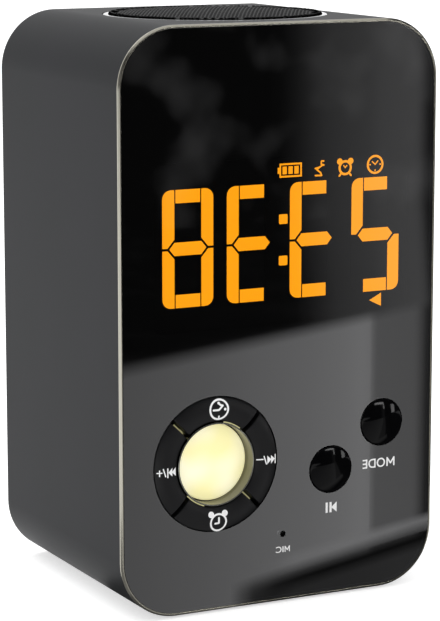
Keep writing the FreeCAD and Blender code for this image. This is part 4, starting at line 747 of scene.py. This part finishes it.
# Polished chrome plate: a sharp mirror, broken only by faint wiping marks.
chrome_plate = coat("polished_chrome_plate", 6.0, "#e4e5e7", (0.05, 0.12), {"Metallic": 1.0},
                    detail=3.0)
ring_section = eased([(25.4, 141.6), (30.4, 141.6), (30.4, 143.3), (29.0, 143.6), (28.6, 143.6),
                      (28.6, 145.8, 0.45), (26.9, 145.8, 0.45), (26.9, 144.3), (25.4, 144.3)])
finish_piece(mesh_of("grille_trim_ring", lathe(ring_section, (0.0, 0.0), "Z", 192)), chrome_plate,
             "case", ("grille_ring",), 28.0)

SHEET_RADIUS, SHOULDER_Z, CROWN_Z, SEAT_Z, ROLL = 26.8, 146.0, 147.0, 144.3, 0.3
PITCH, HOLE_RADIUS, SHEET_THICK = 1.05, 0.34, 0.4
flat_radius = SHEET_RADIUS - ROLL
sheet_curve = (flat_radius ** 2 + (CROWN_Z - SHOULDER_Z) ** 2) / (2 * (CROWN_Z - SHOULDER_Z))
# The hexagons nearest the edge have no hole. From inside out: the last hole, the last hexagon, and
# how far in the open edge of the cut sheet can lie.
last_hole, last_hexagon, edge_from = (flat_radius - PITCH * part for part in (1.3, 0.6, 1.7))

work = bmesh.new()
rows_up = int(SHEET_RADIUS / (PITCH * math.sqrt(3) / 2)) + 1
for row in range(-rows_up, rows_up + 1):
    for column in range(-rows_up - 2, rows_up + 3):
        cx, cy = (column + (row % 2) / 2) * PITCH, row * PITCH * math.sqrt(3) / 2
        from_axis = math.hypot(cx, cy)
        if from_axis > last_hexagon:
            continue
        rim = [work.verts.new((cx + PITCH / math.sqrt(3) * math.cos(math.radians(60 * k + 30)),
                               cy + PITCH / math.sqrt(3) * math.sin(math.radians(60 * k + 30)), 0))
               for k in range(6)]
        if from_axis > last_hole:
            work.faces.new(rim)
            continue
        hole = [work.verts.new((cx + HOLE_RADIUS * math.cos(math.radians(30 * k + 30)),
                                cy + HOLE_RADIUS * math.sin(math.radians(30 * k + 30)), 0))
                for k in range(12)]
        for k in range(6):
            work.faces.new((rim[k], rim[(k + 1) % 6], hole[(2 * k + 2) % 12], hole[2 * k + 1],
                            hole[2 * k]))
bmesh.ops.remove_doubles(work, verts=work.verts, dist=0.01)
rim_edges = [edge for edge in work.edges if len(edge.link_faces) == 1
             and edge.verts[0].co.length > edge_from]
for vert in {vert for edge in rim_edges for vert in edge.verts}:
    vert.co *= flat_radius / vert.co.length
heights = {vert: CROWN_Z - sheet_curve + math.sqrt(sheet_curve ** 2 - vert.co.length_squared)
           for vert in work.verts}
skirt = [(flat_radius + ROLL * math.sin(math.radians(angle)),
          SHOULDER_Z - ROLL + ROLL * math.cos(math.radians(angle))) for angle in (30, 60, 90)]
for reach, height in skirt + [(SHEET_RADIUS, SEAT_Z)]:
    grown = bmesh.ops.extrude_edge_only(work, edges=rim_edges)["geom"]
    fresh = [element for element in grown if isinstance(element, bmesh.types.BMVert)]
    rim_edges = [element for element in grown if isinstance(element, bmesh.types.BMEdge)
                 and all(vert in fresh for vert in element.verts)]
    for vert in fresh:
        vert.co *= reach / vert.co.length
        heights[vert] = height
for vert, height in heights.items():
    vert.co = (vert.co.x / 1000, vert.co.y / 1000, height / 1000)
pan_mesh = bpy.data.meshes.new("perforated_pan")
work.to_mesh(pan_mesh)
work.free()

# Powder coat on steel: matt black with a fine, even grain near 0.1 mm.
powder_coat = coat("matt_black_powder_coat", 0.1, ("#0f0f10", "#18181a"), (0.5, 0.65),
                   {"Specular IOR Level": 0.12}, relief=0.01)
pan = finish_piece(pan_mesh, powder_coat, "case", ("grille_mesh",), 40.0)
# Painted shade: the pan's faces that aren't level, its roll and skirt, take the flat black back
# paint, so its front edge reads as a black shadow line.
pan_mesh.materials.append(back_paint_and_shade)
for face in pan_mesh.polygons:
    face.material_index = 0 if abs(face.normal.z) > 0.9 else 1
thickness = pan.modifiers.new("sheet", "SOLIDIFY")
thickness.thickness = SHEET_THICK / 1000
thickness.offset = -1.0

# --- Rear cover and power ---
# The rear cover is ABS with a coarser spark texture. It carries the port board on two shelves and
# the cell in a moulded cradle behind it. Four screws hold it to the chassis pillars.

# Spark-textured ABS: dark grey, scattering light from grains near 0.45 mm.
dress(coat("spark_textured_abs", 0.45, ("#232426", "#2b2c2f"), (0.55, 0.75), {"IOR": 1.53},
           relief=0.05, detail=3.0), "rear_cover")

# PVC shrink sleeve: glossy blue film drawn tight round the cell, with slight lengthwise wrinkles.
dress(coat("blue_shrink_sleeve", 5.0, "#1d4f8c", 0.25, relief=0.05, run=(0.2, 1.0, 1.0)),
      "battery")

# Red PVC insulation, a little dusty.
dress(coat("red_pvc_insulation", 2.0, ("#8f1410", "#a01a14"), 0.4),
      "speaker_leads", "battery_leads")

# Flat flexible cable: white film over copper tracks 1 mm apart.
dress(coat("flat_cable_film", 1.0, ("#c8c9cb", "#e6e6e4"), 0.3, kind="Wave", bands_direction="X"),
      "ribbon_cable")

# --- Where it stands ---
# A white floor that runs on to the horizon under an even white sky, with one large soft lamp
# above. Grey, black and bright cards that only gloss can see shape what the mirror shows.

EYE = (-295.6, -582.0, 185.4)
YAW, PITCH_DOWN = 0.47184, 0.17635
camera = placed("camera", bpy.data.cameras.new("camera"))
camera.data.lens, camera.data.sensor_width, camera.data.sensor_fit = 148.17, 36.0, "AUTO"
camera.data.clip_start, camera.data.clip_end = 0.01, 50.0
camera.location = [value / 1000 for value in EYE]
camera.rotation_euler = Vector((math.sin(YAW) * math.cos(PITCH_DOWN),
                                math.cos(YAW) * math.cos(PITCH_DOWN),
                                -math.sin(PITCH_DOWN))).to_track_quat("-Z", "Y").to_euler()
bpy.context.scene.camera = camera
bpy.context.scene.view_settings.view_transform = "Standard"


def seen_by(tree):
    """1 for rays from the camera and for the ones that gloss and glass send on, else 0."""
    rays = add(tree, "ShaderNodeLightPath")
    seen = rays["Is Camera Ray"]
    for kind in ("Is Glossy Ray", "Is Transmission Ray"):
        seen = add(tree, "ShaderNodeMath", {0: seen, 1: rays[kind]}, operation="MAXIMUM")["Value"]
    return seen


world = bpy.data.worlds.new("even_white_sky")
bpy.context.scene.world = world
world.use_nodes = True
tree = world.node_tree
feed(tree.nodes["Background"], {"Color": (1, 1, 1, 1), "Strength": add(
    tree, "ShaderNodeMapRange", {"Value": seen_by(tree), "To Min": 0.9, "To Max": 1.0})["Result"]})


def stage_piece(mesh, material):
    """A piece of the stage, which isn't part of the object."""
    made = placed(mesh.name, mesh)
    mesh.materials.append(material)
    return made


# Floor paper: matt white with a faint mottle, and white to the eye however the lamp falls on it.
white_paper = coat("white_floor_paper", 30.0, ("#e6e6e6", "#e9e9e9"), 1.0,
                   {"Specular IOR Level": 0.0, "Emission Color": (1, 1, 1, 1)})
tree = white_paper.node_tree
feed(tree.nodes["Principled BSDF"], {"Emission Strength": add(tree, "ShaderNodeMapRange", {
    "Value": seen_by(tree), "To Min": 0.0, "To Max": 0.6})["Result"]})
floor_corners = [(x, y, 0) for x, y in bar(-4000, -4000, 4000, 4000)[0]]
stage_piece(mesh_of("floor", (floor_corners, [(0, 1, 2, 3)])), white_paper)


def in_the_mirror(x, z, away=None):
    """The point that the mirror shows the lens at (x, z): on the floor, or so far before it."""
    reach = z / (EYE[2] - z) if away is None else away / (FACE_Y - EYE[1])
    return Vector((x + (x - EYE[0]) * reach, FACE_Y - (FACE_Y - EYE[1]) * reach,
                   z - (EYE[2] - z) * reach))


CLOUD_SIZE, BRIGHTEST = 32.0, 20.0


def card(name, corners, shades, lift=0.3, soft=((0, 1), (1, 1)), rough=0.0):
    """A card with four corners that only reflections see. It has one shade, or shades that run from
    its first corner to its second. It can thin out to its far edge, and can be cloudy."""
    low_left, low_right, high_right, high_left = corners
    shades = shades if isinstance(shades, list) else [(0, shades), (1, shades)]
    steps = 16
    row = steps + 1
    spots = [low_left.lerp(low_right, k / steps).lerp(high_left.lerp(high_right, k / steps),
                                                      j / steps) + Vector((0, 0, lift))
             for j in range(row) for k in range(row)]
    mesh = mesh_of(name, (spots, [(n, n + 1, n + row + 1, n + row) for n in range(row * steps)
                                  if n % row < steps]))
    across = mesh.uv_layers.new(name="across")
    for loop in mesh.loops:
        across.data[loop.index].uv = (loop.vertex_index % row / steps,
                                      loop.vertex_index // row / steps)
    material = bpy.data.materials.new(name)
    material.use_nodes = True
    tree = material.node_tree
    tree.nodes.remove(tree.nodes["Principled BSDF"])
    place = add(tree, "ShaderNodeTexCoord")
    parts = add(tree, "ShaderNodeSeparateXYZ", {"Vector": place["UV"]})
    levels = []
    for source, stops in ((parts["X"], shades), (parts["Y"], soft)):
        curve = tree.nodes.new("ShaderNodeFloatCurve")
        feed(curve, {"Value": source})
        curve.mapping.clip_max_y = BRIGHTEST
        line = curve.mapping.curves[0]
        while len(line.points) < len(stops):
            line.points.new(0.5, 0.5)
        for point, (at, value) in zip(line.points, stops):
            point.location, point.handle_type = (at, value), "VECTOR"
        curve.mapping.update()
        levels.append(curve.outputs["Value"])
    cloud = add(tree, "ShaderNodeTexNoise", {"Vector": place["Object"],
                                             "Scale": 1000 / CLOUD_SIZE})["Fac"]
    cloud = add(tree, "ShaderNodeMapRange", {"Value": cloud, "From Min": 0.5, "From Max": 0.75,
                                             "To Max": rough})["Result"]
    light = add(tree, "ShaderNodeMath", {0: levels[0], 1: cloud}, operation="ADD")["Value"]
    glow = add(tree, "ShaderNodeEmission", {"Color": (1, 1, 1, 1), "Strength": light})["Emission"]
    clear = add(tree, "ShaderNodeBsdfTransparent")["BSDF"]
    feed(tree.nodes["Material Output"], {"Surface": add(tree, "ShaderNodeMixShader", {
        0: levels[1], 1: clear, 2: glow})["Shader"]})
    made = stage_piece(mesh, material)
    made.visible_camera = made.visible_diffuse = made.visible_shadow = False
    made.visible_transmission = made.visible_volume_scatter = False


def mirrored(corners, away=None):
    """Four points on the mirror, as the corners of the card that fills them."""
    return [in_the_mirror(x, z, away) for x, z in corners]


ROOM_SHADES = [(0, 0.008), (0.573, 0.012), (0.6, 0.018), (0.627, 0.05), (0.653, 0.105),
               (0.68, 0.165), (0.707, 0.2), (0.76, 0.255), (0.787, 0.32), (0.85, 0.37),
               (0.86, 0.32), (0.867, 0.22), (0.873, 0.12), (0.88, 0.06), (0.9, 0.03), (1, 0.02)]
card("dark_floor_card", mirrored([(-90, 55.6), (60, 73.6), (60, 99), (-90, 99)]), ROOM_SHADES,
     soft=((0, 0), (0.08, 1), (1, 1)), rough=0.01)
card("far_card", mirrored(bar(-90, 97, 60, 190)[0], 600), ROOM_SHADES, rough=0.13)
card("high_card", [Vector((x, -640, z)) for x, z in bar(-1500, -5, 1500, 1400)[0]], 0.02)
card("left_floor_card", mirrored([(-70, 0.6), (26.6, 0.6), (26.6, 76), (-70, 70)]),
     [(0, 0.48), (0.3, 0.52), (0.5, 0.62), (0.65, 0.74), (0.8, 0.84), (0.9, 0.95), (0.96, 1.05),
      (1, 1.0)], lift=0.1)
card("right_floor_card", mirrored([(25.6, 0.6), (60, 0.6), (60, 80), (25.6, 78)]),
     [(0, 0.8), (0.05, 0.54), (0.36, 0.52), (0.39, 0.47), (0.419, 0.36), (0.448, 0.24),
      (0.462, 0.17), (0.477, 0.11), (0.506, 0.08), (1, 0.05)], lift=0.2)
# Painted shadow: the dark cards below stand for the clock's own shadow on the floor in front of it,
# as the mirror and frame show it.
SHADOW_WEDGE = ((-14, 2.1), (46, 12.0))


def above_shadow_wedge(low, high):
    """The card between two heights over the slanting edge of painted shadow near the mirror's foot.
    """
    (left, left_line), (right, right_line) = SHADOW_WEDGE
    return mirrored([(left, left_line + low), (right, right_line + low),
                     (right, right_line + high), (left, left_line + high)])


SHADOW_EDGE_SHADES = [(0, 0.66), (0.05, 0.35), (0.1, 0.15), (0.2, 0.06), (0.3, 0.035), (0.4, 0.025),
               (1, 0.025)]
card("near_bright_card", mirrored([(-6, 6), (46, 14), (46, 19), (-6, 12)]),
     [(0, 0.75), (0.077, 0.8), (0.19, 0.97), (0.31, 1.0), (0.42, 1.06), (0.577, 1.08),
      (0.654, 1.02), (0.73, 1.02), (0.81, 0.97), (0.885, 0.95), (1, 0.9)],
     soft=((0, 1), (0.6, 1), (1, 0)))
card("painted_shadow_card", mirrored([(-14, 0.4), (46, 0.4), (46, 12.1), (-14, 2.2)]),
     [(0, 0.66), (0.05, 0.35), (0.1, 0.08), (0.2, 0.09), (0.3, 0.13), (0.6, 0.14), (0.8, 0.16),
      (1, 0.16)], lift=0.4)
card("painted_shadow_edge_under", above_shadow_wedge(-3, 0), SHADOW_EDGE_SHADES, lift=0.5, soft=((0, 0), (1, 1)))
card("painted_shadow_edge_over", above_shadow_wedge(0, 5), SHADOW_EDGE_SHADES, lift=0.5,
     soft=((0, 1), (0.1, 0.97), (0.3, 0.84), (0.52, 0.56), (0.72, 0.28), (0.93, 0), (1, 0)))
# Painted shadow: a dark strip of floor right under the front edge, which the frame's lower edge
# reflects.
card("painted_foot_shadow", [Vector((x, y, 0)) for x, y in bar(-60, -38.2, 60, -10)[0]],
     [(0, 0.12), (0.36, 0.12), (0.42, 0.01), (1, 0.01)], lift=0.2)
card("left_foot_card", [Vector((x, y, 0)) for x, y in ((-130, -110), (-46, -40), (-46, -30),
                                                       (-130, -60))], 0.3)
for name, pane, shade in (("upper_window", (-49.7, 181.4, 38.7, 195.8), 13),
                          ("narrow_window", (31, 145.5, 44, 193), 9),
                          ("side_window", (139, 103, 200, 171), 8)):
    card(name, mirrored(bar(*pane)[0], 590), shade)
for name, flag in (("right_flag", (-60, -5, 80, 300)), ("right_low_flag", (80, -5, 330, 140))):
    card(name, [Vector((130, y, z)) for y, z in bar(*flag)[0]], 0.03)
card("right_floor_cloth", mirrored(bar(59, 0.6, 200, 99)[0]), 0.04)

lamp = placed("soft_box", bpy.data.lights.new("soft_box", "AREA"))
lamp.data.shape, lamp.data.size, lamp.data.size_y, lamp.data.energy = "RECTANGLE", 1.0, 0.8, 6.0
lamp.location = (-0.5, 0.35, 1.2)
lamp.rotation_euler = (Vector((0, 0, 0.07)) - lamp.location).to_track_quat("-Z", "Y").to_euler()
